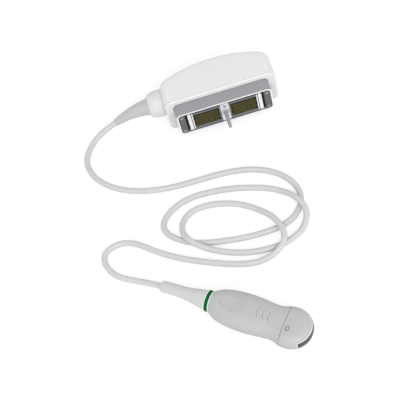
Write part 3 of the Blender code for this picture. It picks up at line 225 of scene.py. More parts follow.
# The stage. The camera stands at the photograph's viewing angle.
CAMERA_AT = (-0.0357876, -0.8064023, 1.0189638)
CAMERA_RIGHT = (0.95692193, -0.23332496, -0.17280011)
CAMERA_UP = (0.29003601, 0.79563955, 0.53182405)
CAMERA_LENS = 108
CAMERA_SENSOR = 36
CAMERA_CLIP = (0.05, 20)
KEY_LIGHT_AT = Vector((0.1, -1.36, 1.12))
KEY_LIGHT_TARGET = Vector((-0.05, -0.15, 0.02))
KEY_LIGHT_SIZE = (1.5, 0.7)
ROOM_SHARES = (1.3, 0.8)  # of the room light at the horizon and overhead
ROOM_TOP = 0.9  # height in a direction where the overhead light is reached
FLOOR_HALF_SIZE = 6
FLOOR_DROP = 0.1 * MM
FLOOR_PALE = (0.42, 0.42, 0.42, 1)
FLOOR_GLOW = 0.66
WHITE = (1, 1, 1, 1)

# Finishes
FLOW_SCALE = 38
DUST_SCALE = 60
RUBBER_GRAIN_DEPTH = 0.02 * MM
METAL_GRAIN_DEPTH = 0.01 * MM
PAD_TOP = 0.58  # radius of a pad's square top, where its base has sides of 1
DICING_SCALE = 1 / (20 * 0.3 * MM)  # cuts 1.9 mm apart: a Wave texture of scale 1 has 20 radians to the metre

SHARP_ANGLE = 35  # degrees between faces from which an edge is shaded as a sharp one

TO_X = Euler((0, math.pi / 2, 0)).to_matrix().to_4x4()
TO_MINUS_X = Euler((0, -math.pi / 2, 0)).to_matrix().to_4x4()
TO_Y = Euler((-math.pi / 2, 0, 0)).to_matrix().to_4x4()
FACE_SCREW_TURN = (math.pi / 2, 0, 0)
UNDERSIDE_SCREW_TURN = (math.pi, 0, 0)
LEVER_SCREW_TURN = (-math.pi / 2, 0, 0)


def colour_property(label, description, default):
    return FloatVectorProperty(
        name=label, description=description, default=default, min=0, max=1, size=3, subtype="COLOR",
    )


def length_property(label, description, default):
    return FloatProperty(
        name=label, description=description, default=default,
        min=0, subtype="DISTANCE", unit="LENGTH", precision=5,
    )


class ProbeColours(PropertyGroup):
    """Colours of the probe's mouldings and metals."""

    housing: colour_property("Housing", "White of the connector's housing and collar", (0.79, 0.79, 0.795))
    handle: colour_property("Handle", "Light grey of the handle's shells and head", (0.475, 0.478, 0.48))
    cable: colour_property("Cable", "Sheath of the cable", (0.61, 0.61, 0.615))
    boot: colour_property("Boots", "Moulded boots at both ends of the cable", (0.60, 0.60, 0.605))
    ring: colour_property("Ring", "Coloured ring between the handle and its boot", (0.0, 0.126, 0.026))
    lens: colour_property("Lens", "Silicone rubber of the acoustic lens", (0.045, 0.045, 0.047))
    skirt: colour_property("Skirt", "Plated metal skirt round the contact face", (0.33, 0.335, 0.348))
    contact: colour_property("Contacts", "Plating of the contacts", (0.15, 0.125, 0.017))


class ContactLayout(PropertyGroup):
    """The field of contacts on each block."""

    rows: IntProperty(name="Rows", description="Rows of contacts on one block", default=10, min=1, max=40)
    columns: IntProperty(name="Columns", description="Contacts in one row", default=12, min=1, max=60)
    row_pitch: length_property("Row pitch", "Distance between rows", 1.8 * MM)
    column_pitch: length_property("Column pitch", "Distance between contacts in a row", 2.12 * MM)
    pad_length: length_property("Pad length", "Size of a contact along its row", 1.0 * MM)
    pad_width: length_property("Pad width", "Size of a contact across its row", 1.3 * MM)
    pad_height: length_property("Pad height", "How far a contact stands out of its rib", 0.14 * MM)


class HandleRelief(PropertyGroup):
    """What is moulded into the handle's upper shell and head."""

    thumb_depth: length_property("Thumb recess", "Depth of the recess for the thumb", 0.95 * MM)
    outline_depth: length_property("Recess outline", "Depth of the line round the thumb recess", 0.55 * MM)
    groove_depth: length_property("Grip grooves", "Depth of the curved grip grooves", 0.85 * MM)
    groove_width: length_property("Groove width", "Half-width of a grip groove", 0.4 * MM)
    mark_height: length_property("Orientation mark", "Radius of the orientation mark's bead", 0.42 * MM)


class StageSettings(PropertyGroup):
    """Floor and studio light."""

    key_power: FloatProperty(
        name="Key light", description="Power of the large lamp in front", default=13.5, unit="POWER",
    )
    sky_strength: FloatProperty(
        name="Room light", description="Strength of the room's even light", default=0.81, min=0,
    )
    floor: colour_property("Floor", "Colour that the floor gives back to the object", (0.7, 0.7, 0.7))


# Shape helpers


def natural_spline(knots, values, at):
    """Values of the smooth curve through the knots, with continuous curvature."""
    knots, values, at = np.asarray(knots, float), np.asarray(values, float), np.asarray(at, float)
    flat = values.reshape(len(knots), -1)
    step = np.diff(knots)
    system, right = np.eye(len(knots)), np.zeros_like(flat)
    for i in range(1, len(knots) - 1):
        system[i, i - 1 : i + 2] = step[i - 1], 2 * (step[i - 1] + step[i]), step[i]
        right[i] = 6 * ((flat[i + 1] - flat[i]) / step[i] - (flat[i] - flat[i - 1]) / step[i - 1])
    bend = np.linalg.solve(system, right)
    i = np.clip(np.searchsorted(knots, at, side="right") - 1, 0, len(knots) - 2)
    before = ((knots[i + 1] - at) / step[i])[:, None]
    after = 1 - before
    curved = ((before**3 - before) * bend[i] + (after**3 - after) * bend[i + 1]) * (step[i] ** 2)[:, None] / 6
    return (before * flat[i] + after * flat[i + 1] + curved).reshape(len(at), *values.shape[1:])


def distances(points):
    return np.concatenate([[0], np.cumsum(np.linalg.norm(np.diff(points, axis=0), axis=1))])


def at_distances(points, wanted):
    run = distances(points)
    return np.stack([np.interp(wanted, run, points[:, axis]) for axis in range(3)], axis=1)


def cable_centreline(count):
    """Points at equal distances along the cable's smooth route, never below the floor."""
    route = np.array(CABLE_ROUTE)
    knots = distances(route)
    fine = natural_spline(knots, route, np.linspace(0, knots[-1], 40 * CABLE_POINTS))
    points = at_distances(fine, np.linspace(0, distances(fine)[-1], count))
    points[:, 2] = np.maximum(points[:, 2], CABLE_RADIUS + CABLE_CLEARANCE)
    return points


def easy_bend(start, start_direction, end, end_direction, pull, steps):
    """Points on one cubic bend between two ends with given directions of travel."""
    start, end = np.array(start, float), np.array(end, float)
    first = start + pull * np.array(Vector(start_direction).normalized())
    second = end - pull * np.array(Vector(end_direction).normalized())
    t = np.linspace(0, 1, steps + 1)[:, None]
    u = 1 - t
    return u**3 * start + 3 * u * u * t * first + 3 * u * t * t * second + t**3 * end


def arc(centre, radius, start, end, steps):
    angles = np.linspace(start, end, steps + 1)
    return [(centre[0] + radius * math.cos(a), centre[1] + radius * math.sin(a)) for a in angles]


def rounded_rectangle(half_x, half_z, corner, steps=10):
    loop = []
    for quarter, (sx, sz) in enumerate(((1, 1), (-1, 1), (-1, -1), (1, -1))):
        centre = (sx * (half_x - corner), sz * (half_z - corner))
        loop += arc(centre, corner, quarter * math.pi / 2, (quarter + 1) * math.pi / 2, steps)
    return loop


def shaded(name, bm, angle=SHARP_ANGLE):
    """The finished mesh of a bmesh, facing out, smooth but for its sharp edges."""
    bmesh.ops.recalc_face_normals(bm, faces=bm.faces)
    mesh = bpy.data.meshes.new(name)
    bm.to_mesh(mesh)
    bm.free()
    mesh.shade_smooth()
    mesh.set_sharp_from_angle(angle=math.radians(angle))
    return mesh


def helper(name, mesh):
    obj = bpy.data.objects.new(name, mesh)
    bpy.context.scene.collection.objects.link(obj)
    return obj


def baked(obj, *spent):
    """The plain mesh that an object's modifiers give. The object and its tools are removed."""
    graph = bpy.context.evaluated_depsgraph_get()
    mesh = bpy.data.meshes.new_from_object(obj.evaluated_get(graph))
    for done in (obj, *spent):
        bpy.data.objects.remove(done, do_unlink=True)
    return mesh


def carve(mesh, tools, operation="DIFFERENCE"):
    """A mesh after the tool meshes are cut from it or joined to it, its sharp edges marked again."""
    obj = helper("carving", mesh)
    spent = []
    for number, tool in enumerate(tools, 1):
        spent.append(helper(f"tool {number}", tool))
        boolean = obj.modifiers.new(f"{operation.lower()} {number}", "BOOLEAN")
        boolean.operation = operation
        boolean.solver = "MANIFOLD"
        boolean.object = spent[-1]
    return evened(baked(obj, *spent))


def evened(mesh):
    """A mesh shaded so that its broad flat faces look flat beside their rounded edges."""
    mesh.shade_smooth()
    mesh.set_sharp_from_angle(angle=math.radians(SHARP_ANGLE))
    obj = helper("evening", mesh)
    weighted = obj.modifiers.new("weighted normals", "WEIGHTED_NORMAL")
    weighted.keep_sharp = True
    return baked(obj)


def softened(mesh, radius, segments, angle=40):
    """A mesh with its sharp edges rounded."""
    obj = helper("softening", mesh)
    bevel = obj.modifiers.new("round edges", "BEVEL")
    bevel.width = radius
    bevel.segments = segments
    bevel.limit_method = "ANGLE"
    bevel.angle_limit = math.radians(angle)
    return baked(obj)


def round_line(name, points, radius, resolution, closed=False):
    """A round curve through points, with its ends capped or joined."""
    curve = bpy.data.curves.new(name, "CURVE")
    curve.dimensions = "3D"
    curve.bevel_depth = radius
    curve.bevel_resolution = resolution
    curve.use_fill_caps = not closed
    spline = curve.splines.new("POLY")
    spline.points.add(len(points) - 1)
    spline.use_cyclic_u = closed
    spline.use_smooth = True
    for point, place in zip(spline.points, points):
        point.co = (*place, 1)
    return curve


def ring_loft(rings, caps=True, around=False):
    """Quads between successive closed rings of points, with a face at each end or joined end to end."""
    bm = bmesh.new()
    made = [[bm.verts.new(point) for point in ring] for ring in rings]
    pairs = list(zip(made, made[1:]))
    if around:
        pairs.append((made[-1], made[0]))
    for near, far in pairs:
        for i in range(len(near)):
            j = (i + 1) % len(near)
            bm.faces.new((near[i], near[j], far[j], far[i]))
    if caps:
        bm.faces.new(made[0])
        bm.faces.new(made[-1])
    return bm


def lathe(name, profile, steps, closed=False):
    """A (radius, height) profile turned about z."""
    bm = bmesh.new()
    turns = [(math.cos(a), math.sin(a)) for a in np.linspace(0, 2 * math.pi, steps, endpoint=False)]
    rows = []
    for radius, height in profile:
        if radius < 1e-7:
            rows.append([bm.verts.new((0, 0, height))] * steps)
        else:
            rows.append([bm.verts.new((radius * c, radius * s, height)) for c, s in turns])
    pairs = list(zip(rows, rows[1:]))
    if closed:
        pairs.append((rows[-1], rows[0]))
    for near, far in pairs:
        for i in range(steps):
            j = (i + 1) % steps
            corners = []
            for vert in (near[i], near[j], far[j], far[i]):
                if vert not in corners:
                    corners.append(vert)
            if len(corners) > 2:
                bm.faces.new(corners)
    return shaded(name, bm)


def drum(radius, start, length, turn, sides=96):
    mesh = lathe("drum", ((0, 0), (radius, 0), (radius, length), (0, length)), sides)
    mesh.transform(Matrix.Translation(start) @ turn)
    return mesh


def slab(low, high):
    bm = bmesh.new()
    bmesh.ops.create_cube(bm, size=1)
    low, high = Vector(low), Vector(high)
    bmesh.ops.scale(bm, vec=high - low, verts=bm.verts)
    bmesh.ops.translate(bm, vec=(low + high) / 2, verts=bm.verts)
    return shaded("slab", bm)


def extruded(loop, front, back):
    """An outline in x and z between two depths of the connector."""
    rings = [[(x, depth, z) for x, z in loop] for depth in (front, back)]
    return shaded("extrusion", ring_loft(rings))


def add_piece(name, mesh, material, body, nodes, where=None):
    """A finished mesh as a piece of the probe that rides on a body and stands for CAD nodes."""
    if where is not None:
        mesh.transform(where)
    if material is not None:
        mesh.materials.clear()
        mesh.materials.append(material)
    obj = helper(name, mesh)
    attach(obj, body)
    if nodes:
        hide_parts(*nodes)


def dress(nodes, material):
    """Gives CAD nodes that stay a finished material."""
    for name in nodes:
        CAD[name].data.materials.clear()
        CAD[name].data.materials.append(material)


# Materials


def new_material(name):
    """A new material, its tree and its Principled shader."""
    made = bpy.data.materials.new(name)
    made.use_nodes = True
    return made, made.node_tree, made.node_tree.nodes["Principled BSDF"]


def feed(tree, node, inputs):
    """Gives a node's inputs their values, or links them to the sockets that feed them."""
    for key, given in inputs.items():
        for value in given if isinstance(given, list) else [given]:
            if isinstance(value, bpy.types.NodeSocket):
                tree.links.new(value, node.inputs[key])
            else:
                node.inputs[key].default_value = value


def add_node(tree, kind, inputs=None, **settings):
    """A new node with its settings and its inputs, which are values or sockets."""
    node = tree.nodes.new(kind)
    for key, value in settings.items():
        setattr(node, key, value)
    feed(tree, node, inputs or {})
    return node


def result(tree, kind, inputs=None, **settings):
    """The first output of a new node."""
    return add_node(tree, kind, inputs, **settings).outputs[0]


def maths(tree, operation, first, second=0):
    """A Math node's result. Each operand is a socket or a number."""
    return result(tree, "ShaderNodeMath", {0: first, 1: second}, operation=operation)


def object_coordinates(tree, stretch=(1, 1, 1), turn=(0, 0, 0)):
    place = add_node(tree, "ShaderNodeTexCoord").outputs["Object"]
    return result(tree, "ShaderNodeMapping", {"Vector": place, "Scale": stretch, "Rotation": turn})


def noise(tree, vector, scale, detail=3):
    return result(tree, "ShaderNodeTexNoise", {"Vector": vector, "Scale": scale, "Detail": detail})


def mixed_colour(tree, factor, low, high):
    """A colour between two others, each of them three numbers or a socket."""
    first, second = (end if isinstance(end, bpy.types.NodeSocket) else (*end, 1) for end in (low, high))
    return add_node(tree, "ShaderNodeMix", {0: factor, 6: first, 7: second}, data_type="RGBA").outputs[2]


def ranged(tree, factor, low, high, from_low=0.3, from_high=0.7):
    """A factor stretched from one range to another, and held inside it."""
    return result(tree, "ShaderNodeMapRange", {
        "Value": factor, "From Min": from_low, "From Max": from_high, "To Min": low, "To Max": high,
    })


def bumped(tree, height, strength, distance):
    return result(tree, "ShaderNodeBump", {"Height": height, "Strength": strength, "Distance": distance})


def shade_of(colour, share):
    return tuple(min(1, channel * share) for channel in colour)


def moulding(name, colour, roughness, mottle=0.03, grain=2400, depth=0.025 * MM, gloss=0.5):
    """Moulded plastic: a spark-eroded grain, faint flow mottling and an uneven polish."""
    made, tree, shader = new_material(name)
    vector = object_coordinates(tree)
    flow = noise(tree, vector, FLOW_SCALE, 2)
    fine = noise(tree, vector, grain, 4)
    feed(tree, shader, {
        "Base Color": mixed_colour(tree, flow, shade_of(colour, 1 - mottle), shade_of(colour, 1 + mottle)),
        "Roughness": ranged(tree, fine, roughness - 0.05, roughness + 0.05),
        "Normal": bumped(tree, fine, 0.35, depth),
        "Specular IOR Level": gloss,
    })
    return made


def rubber(name, colour, roughness, grain=3200, sheen=0.15):
    """Soft moulded rubber or sheath, with a dusty sheen and a finer grain."""
    made, tree, shader = new_material(name)
    vector = object_coordinates(tree)
    dust = noise(tree, vector, DUST_SCALE, 3)
    fine = noise(tree, vector, grain, 3)
    feed(tree, shader, {
        "Base Color": mixed_colour(tree, dust, shade_of(colour, 0.965), shade_of(colour, 1.025)),
        "Roughness": ranged(tree, fine, roughness - 0.06, roughness + 0.06),
        "Normal": bumped(tree, fine, 0.25, RUBBER_GRAIN_DEPTH),
        "Sheen Weight": sheen,
        "Sheen Roughness": 0.5,
    })
    return made


def worked_tint(tree, lines, colour):
    return mixed_colour(tree, lines, shade_of(colour, 0.88), shade_of(colour, 1.1))


def metal(name, colour, roughness, along=(1, 1, 1), metallic=1.0, grain=900):
    """Worked metal, its grain drawn out along the axis whose stretch is smallest."""
    made, tree, shader = new_material(name)
    lines = noise(tree, object_coordinates(tree, along), grain, 5)
    feed(tree, shader, {
        "Base Color": worked_tint(tree, lines, colour),
        "Roughness": ranged(tree, lines, roughness - 0.07, roughness + 0.09),
        "Normal": bumped(tree, lines, 0.3, METAL_GRAIN_DEPTH),
        "Metallic": metallic,
    })
    return made


def frame_metal(name, colour, bright, sides):
    """Metal of a contact frame: painted shade, near black, on its sides, and a bright band along the outer
    end of its face.
    """
    made, tree, shader = new_material(name)
    place = add_node(tree, "ShaderNodeSeparateXYZ", {0: object_coordinates(tree)})
    lines = noise(tree, object_coordinates(tree, (0.1, 1, 1)), 900, 5)
    away = maths(tree, "SUBTRACT", maths(tree, "ABSOLUTE", place.outputs["X"]), BRIGHT_BAND_AT)
    band = maths(tree, "LESS_THAN", maths(tree, "ABSOLUTE", away), BRIGHT_BAND_HALF_WIDTH)
    # Deeper than the frame's face the colour turns to sides: painted shade, near black, for the shadow in the
    # recess round the contacts.
    behind = maths(tree, "GREATER_THAN", place.outputs["Y"], SKIRT_LOW.y + FRAME_FACE_DEPTH)
    face = mixed_colour(tree, band, worked_tint(tree, lines, colour), bright)
    feed(tree, shader, {
        "Base Color": mixed_colour(tree, behind, face, sides),
        "Roughness": ranged(tree, lines, 0.3, 0.45),
        "Metallic": 0.3,
    })
    return made


def circuit_board(name):
    """Green solder mask over a pattern of tracks."""
    made, tree, shader = new_material(name)
    vector = object_coordinates(tree)
    tracks = add_node(tree, "ShaderNodeTexBrick", {
        "Vector": vector, "Scale": 260, "Mortar Size": 0.06, "Brick Width": 0.9, "Row Height": 0.3,
        "Color1": (0.010, 0.11, 0.035, 1), "Color2": (0.014, 0.13, 0.04, 1), "Mortar": (0.05, 0.24, 0.08, 1),
    })
    feed(tree, shader, {
        "Base Color": tracks.outputs["Color"],
        "Roughness": ranged(tree, noise(tree, vector, 500), 0.3, 0.5),
        "Normal": bumped(tree, tracks.outputs["Fac"], 0.4, 0.04 * MM),
    })
    return made


def diced(name, colour, kerf):
    """A block cut into fine elements, the cuts across the sweep of the array."""
    made, tree, shader = new_material(name)
    vector = object_coordinates(tree, turn=(0, 0, -HANDLE_BEARING))
    wave = add_node(tree, "ShaderNodeTexWave", {
        "Vector": vector, "Scale": DICING_SCALE, "Distortion": 0,
    }, bands_direction="Y")
    cuts = ranged(tree, wave.outputs["Fac"], 0, 1, 0.05, 0.2)
    feed(tree, shader, {
        "Base Color": mixed_colour(tree, cuts, kerf, colour),
        "Roughness": 0.55,
        "Normal": bumped(tree, cuts, 0.5, 0.05 * MM),
    })
    return made


# Geometry Nodes trees


def new_tree(name, inputs):
    """A modifier tree with named inputs, the sockets that give them, and their identifiers."""
    tree = bpy.data.node_groups.new(name, "GeometryNodeTree")
    tree.is_modifier = True
    tree.interface.new_socket("Geometry", in_out="INPUT", socket_type="NodeSocketGeometry")
    identifiers = {}
    for label, (kind, default) in inputs.items():
        socket = tree.interface.new_socket(label, in_out="INPUT", socket_type=f"NodeSocket{kind}")
        if default is not None:
            socket.default_value = default
        identifiers[label] = socket.identifier
    tree.interface.new_socket("Geometry", in_out="OUTPUT", socket_type="NodeSocketGeometry")
    return tree, tree.nodes.new("NodeGroupInput").outputs, identifiers


def end_tree(tree, geometry, material, smooth):
    """Shades what the tree made, realizes it, sets its material and gives it out."""
    shade = result(tree, "GeometryNodeSetShadeSmooth", {"Geometry": geometry, "Shade Smooth": smooth})
    realized = result(tree, "GeometryNodeRealizeInstances", {"Geometry": shade})
    painted = result(tree, "GeometryNodeSetMaterial", {"Geometry": realized, "Material": material})
    add_node(tree, "NodeGroupOutput", {"Geometry": painted})


def contact_field_tree():
    """Rows of flat-topped pads that stand out towards -Y, every other pair of rows shifted half a pitch."""
    tree, given, identifiers = new_tree("contact field", {
        "Rows": ("Int", 10), "Columns": ("Int", 12),
        "Row Pitch": ("Float", 1.8 * MM), "Column Pitch": ("Float", 2.12 * MM),
        "Pad Length": ("Float", 1.0 * MM), "Pad Width": ("Float", 1.3 * MM),
        "Pad Height": ("Float", 0.14 * MM), "Centre": ("Vector", None), "Material": ("Material", None),
    })
    row_pitch, column_pitch = given["Row Pitch"], given["Column Pitch"]
    size_x = maths(tree, "MULTIPLY", column_pitch, maths(tree, "SUBTRACT", given["Columns"], 1))
    size_y = maths(tree, "MULTIPLY", row_pitch, maths(tree, "SUBTRACT", given["Rows"], 1))
    grid = result(tree, "GeometryNodeMeshGrid", {
        "Size X": size_x, "Size Y": size_y, "Vertices X": given["Columns"], "Vertices Y": given["Rows"],
    })
    place = add_node(tree, "ShaderNodeSeparateXYZ", {0: result(tree, "GeometryNodeInputPosition")})
    from_edge = maths(tree, "ADD", place.outputs["Y"], maths(tree, "DIVIDE", size_y, 2))
    row = maths(tree, "ROUND", maths(tree, "DIVIDE", from_edge, row_pitch))
    pair = maths(tree, "FLOOR", maths(tree, "DIVIDE", row, 2))
    side = maths(tree, "SUBTRACT", maths(tree, "FLOORED_MODULO", pair, 2), 0.5)
    along = maths(tree, "MULTIPLY", side, maths(tree, "DIVIDE", column_pitch, 2))
    shift = result(tree, "ShaderNodeCombineXYZ", {"X": along})
    staggered = result(tree, "GeometryNodeSetPosition", {"Geometry": grid, "Offset": shift})
    pad = result(tree, "GeometryNodeMeshCone", {
        "Vertices": 4, "Radius Top": PAD_TOP, "Radius Bottom": math.sqrt(0.5), "Depth": 1,
    })
    square = result(tree, "GeometryNodeTransform", {"Geometry": pad, "Rotation": (0, 0, math.pi / 4)})
    size = result(tree, "ShaderNodeCombineXYZ", {
        "X": given["Pad Length"], "Y": given["Pad Width"], "Z": given["Pad Height"],
    })
    sized = result(tree, "GeometryNodeTransform", {"Geometry": square, "Scale": size})
    spread = result(tree, "GeometryNodeInstanceOnPoints", {"Points": staggered, "Instance": sized})
    upright = result(tree, "GeometryNodeTransform", {
        "Geometry": spread, "Rotation": FACE_SCREW_TURN, "Translation": given["Centre"],
    })
    end_tree(tree, upright, given["Material"], smooth=False)
    return tree, identifiers


def screw_tree():
    """Low round-headed screws with a cross recess, one at each vertex of the given points."""
    tree, given, identifiers = new_tree("recessed screws", {
        "Head Radius": ("Float", 1.7 * MM), "Head Height": ("Float", 0.5 * MM),
        "Recess Width": ("Float", 0.4 * MM), "Recess Depth": ("Float", 0.4 * MM),
        "Turn": ("Rotation", None), "Spin": ("Float", SCREW_SPIN), "Material": ("Material", None),
    })
    radius, height = given["Head Radius"], given["Head Height"]
    crown = result(tree, "GeometryNodeMeshCone", {
        "Vertices": 32, "Radius Top": maths(tree, "MULTIPLY", radius, CROWN_RADIUS), "Radius Bottom": radius,
        "Depth": maths(tree, "MULTIPLY", height, CROWN_HEIGHT),
    })
    rim = result(tree, "GeometryNodeMeshCylinder", {"Vertices": 32, "Radius": radius, "Depth": height})
    lift = result(tree, "ShaderNodeCombineXYZ", {"Z": maths(tree, "DIVIDE", height, 2)})
    raised = result(tree, "GeometryNodeTransform", {"Geometry": crown, "Translation": lift})
    head = result(tree, "GeometryNodeMeshBoolean", {1: [raised, rim]}, operation="UNION")
    reach = maths(tree, "MULTIPLY", radius, RECESS_REACH)
    deep = maths(tree, "MULTIPLY", given["Recess Depth"], 2)
    seat = result(tree, "ShaderNodeCombineXYZ", {"Z": maths(tree, "MULTIPLY", height, CROWN_TOP)})
    bars = []
    for along, across in ("XY", "YX"):
        size = result(tree, "ShaderNodeCombineXYZ", {along: reach, across: given["Recess Width"], "Z": deep})
        bar = result(tree, "GeometryNodeMeshCube", {"Size": size})
        bars.append(result(tree, "GeometryNodeTransform", {"Geometry": bar, "Translation": seat}))
    cross = result(tree, "GeometryNodeJoinGeometry", {0: bars})
    recessed = result(tree, "GeometryNodeMeshBoolean", {0: head, 1: cross}, operation="DIFFERENCE")
    spin = result(tree, "ShaderNodeCombineXYZ", {"Z": given["Spin"]})
    spun = result(tree, "GeometryNodeTransform", {"Geometry": recessed, "Rotation": spin})
    spread = result(tree, "GeometryNodeInstanceOnPoints", {
        "Points": given["Geometry"], "Instance": spun, "Rotation": given["Turn"],
    })
    end_tree(tree, spread, given["Material"], smooth=False)
    return tree, identifiers


def sleeve_tree():
    """A round sleeve along the given line of vertices, as thick as their radius attribute says."""
    tree, given, identifiers = new_tree("sleeve along a line", {
        "Sides": ("Int", 64), "Material": ("Material", None),
    })
    line = result(tree, "GeometryNodeMeshToCurve", {"Mesh": given["Geometry"]})
    radius = result(tree, "GeometryNodeInputNamedAttribute", {"Name": "radius"}, data_type="FLOAT")
    ring = result(tree, "GeometryNodeCurvePrimitiveCircle", {"Resolution": given["Sides"], "Radius": 1})
    sweep = result(tree, "GeometryNodeCurveToMesh", {
        "Curve": line, "Profile Curve": ring, "Scale": radius, "Fill Caps": True,
    })
    end_tree(tree, sweep, given["Material"], smooth=True)
    return tree, identifiers


def grown(tree_and_identifiers, points, values, edges=(), radii=None):
    """The plain mesh that a tree makes from points, with its named inputs set by identifier."""
    tree, identifiers = tree_and_identifiers
    mesh = bpy.data.meshes.new("guide")
    mesh.from_pydata([tuple(p) for p in points], list(edges), [])
    if radii is not None:
        thickness = mesh.attributes.new("radius", "FLOAT", "POINT")
        thickness.data.foreach_set("value", np.asarray(radii, np.float32))
    carrier = helper("guide", mesh)
    modifier = carrier.modifiers.new(tree.name, "NODES")
    modifier.node_group = tree
    for label, value in values.items():
        modifier[identifiers[label]] = value
    return baked(carrier)


def sleeve(name, points, radii, material):
    """A boot along a path, its caps sewn to its sides."""
    edges = [(i, i + 1) for i in range(len(points) - 1)]
    made = grown(sleeve_tree(), points, {"Sides": 64, "Material": material}, edges, radii)
    bm = bmesh.new()
    bm.from_mesh(made)
    bmesh.ops.remove_doubles(bm, verts=bm.verts, dist=0.002 * MM)
    return shaded(name, bm, 30)


# The stage


def make_camera():
    """The camera, at the photograph's viewing angle."""
    data = bpy.data.cameras.new("camera")
    data.lens, data.sensor_width = CAMERA_LENS, CAMERA_SENSOR
    data.clip_start, data.clip_end = CAMERA_CLIP
    right, up = Vector(CAMERA_RIGHT), Vector(CAMERA_UP)
    turn = Matrix((right, up, right.cross(up))).transposed().to_4x4()
    camera = helper("camera", data)
    camera.matrix_world = Matrix.Translation(CAMERA_AT) @ turn
    bpy.context.scene.camera = camera


def seen_ray(tree):
    """1 for rays that show the background: seen directly, in a gloss or through glass."""
    path = add_node(tree, "ShaderNodeLightPath").outputs
    through = maths(tree, "MAXIMUM", path["Is Glossy Ray"], path["Is Transmission Ray"])
    return maths(tree, "MAXIMUM", path["Is Camera Ray"], through)


def make_floor(settings):
    """The pale floor, which shows as white with the object's soft shadow on it."""
    bm = bmesh.new()
    bmesh.ops.create_grid(bm, x_segments=1, y_segments=1, size=FLOOR_HALF_SIZE)
    bmesh.ops.translate(bm, vec=(0, 0, -FLOOR_DROP), verts=bm.verts)
    floor = helper("floor", shaded("floor", bm))
    made, tree, shader = new_material("pale floor")
    tree.nodes.remove(shader)
    bounce = result(tree, "ShaderNodeBsdfDiffuse", {"Color": (*settings.floor, 1)})
    pale = result(tree, "ShaderNodeBsdfDiffuse", {"Color": FLOOR_PALE})
    glow = result(tree, "ShaderNodeEmission", {"Color": WHITE, "Strength": FLOOR_GLOW})
    shown = result(tree, "ShaderNodeAddShader", {0: pale, 1: glow})
    choice = result(tree, "ShaderNodeMixShader", {0: seen_ray(tree), 1: bounce, 2: shown})
    out = next(node for node in tree.nodes if node.type == "OUTPUT_MATERIAL")
    feed(tree, out, {"Surface": choice})
    floor.data.materials.append(made)


def make_room(settings):
    """Even light from the room, a little dimmer overhead, and white where the background shows."""
    world = bpy.data.worlds.new("studio room")
    bpy.context.scene.world = world
    world.use_nodes = True
    tree = world.node_tree
    tree.nodes.clear()
    way = add_node(tree, "ShaderNodeTexCoord").outputs["Generated"]
    height = add_node(tree, "ShaderNodeSeparateXYZ", {0: way}).outputs["Z"]
    horizon, overhead = (share * settings.sky_strength for share in ROOM_SHARES)
    strength = ranged(tree, height, horizon, overhead, 0, ROOM_TOP)
    room = result(tree, "ShaderNodeBackground", {"Color": WHITE, "Strength": strength})
    white = result(tree, "ShaderNodeBackground", {"Color": WHITE, "Strength": 1})
    choice = result(tree, "ShaderNodeMixShader", {0: seen_ray(tree), 1: room, 2: white})
    add_node(tree, "ShaderNodeOutputWorld", {"Surface": choice})


def make_key_light(settings):
    """The one large lamp, in front of the object and above it."""
    data = bpy.data.lights.new("key light", "AREA")
    data.shape = "RECTANGLE"
    data.size, data.size_y = KEY_LIGHT_SIZE
    data.energy = settings.key_power
    lamp = helper("key light", data)
    lamp.location = KEY_LIGHT_AT
    lamp.rotation_euler = (KEY_LIGHT_TARGET - KEY_LIGHT_AT).to_track_quat("-Z", "Y").to_euler()


# The connector


def dome_outline(inset, face):
    """The housing's plan: flat face, straight sides, rounded corners and a shallow domed back."""
    dome_centre = (0, DOME_DEPTH - DOME_RADIUS)
    corner_x = HALF_LENGTH - DOME_CORNER
    corner_y = dome_centre[1] + math.sqrt((DOME_RADIUS - DOME_CORNER) ** 2 - corner_x**2)
    meet = math.atan2(corner_y - dome_centre[1], corner_x)
    corner = DOME_CORNER - inset
    side = HALF_LENGTH - inset
    return [
        (-side, face),
        (side, face),
        *arc((corner_x, corner_y), corner, 0, meet, 14),
        *arc(dome_centre, DOME_RADIUS - inset, meet, math.pi - meet, 60)[1:-1],
        *arc((-corner_x, corner_y), corner, math.pi - meet, math.pi, 14),
    ]


def housing_form(inset, edge, face_edge):
    """The housing's whole form, with broad edges round its back and finer ones round its face."""
    half, face = HALF_THICKNESS - inset, HOUSING_FACE + inset

    def on_face(part):
        return all(abs(vert.co.y - face) < 0.01 * MM for vert in part.verts)

    turns = np.linspace(0, math.pi / 2, 13)
    quarter = [(half - edge * (1 - math.sin(a)), edge * (1 - math.cos(a))) for a in turns]
    upper = [(half - edge - SUPPORT, 0), *quarter, (half, edge + SUPPORT)]
    levels = [(-z, step_in) for z, step_in in reversed(upper)] + upper
    bm = ring_loft([[(x, y, z) for x, y in dome_outline(inset + step_in, face)] for z, step_in in levels])
    bmesh.ops.dissolve_faces(bm, faces=[part for part in bm.faces if on_face(part)])
    if face_edge:
        border = [part for part in bm.edges if on_face(part)]
        bmesh.ops.bevel(
            bm, geom=border, offset=face_edge, segments=6, profile=0.5, affect="EDGES", clamp_overlap=False,
        )
    return shaded("housing form", bm)


def face_line():
    """What the moulded line takes away all round the housing, just behind the edge of its face."""
    width, depth = FACE_LINE
    near = HOUSING_FACE + HOUSING_FACE_EDGE
    rings = []
    for inset, y in ((-depth, near), (-depth, near + width), (depth, near + width), (depth, near)):
        loop = rounded_rectangle(HALF_LENGTH - inset, HALF_THICKNESS - inset, HOUSING_EDGE - inset, 12)
        rings.append([(x, y, z) for x, z in loop])
    return shaded("face line", ring_loft(rings, caps=False, around=True))


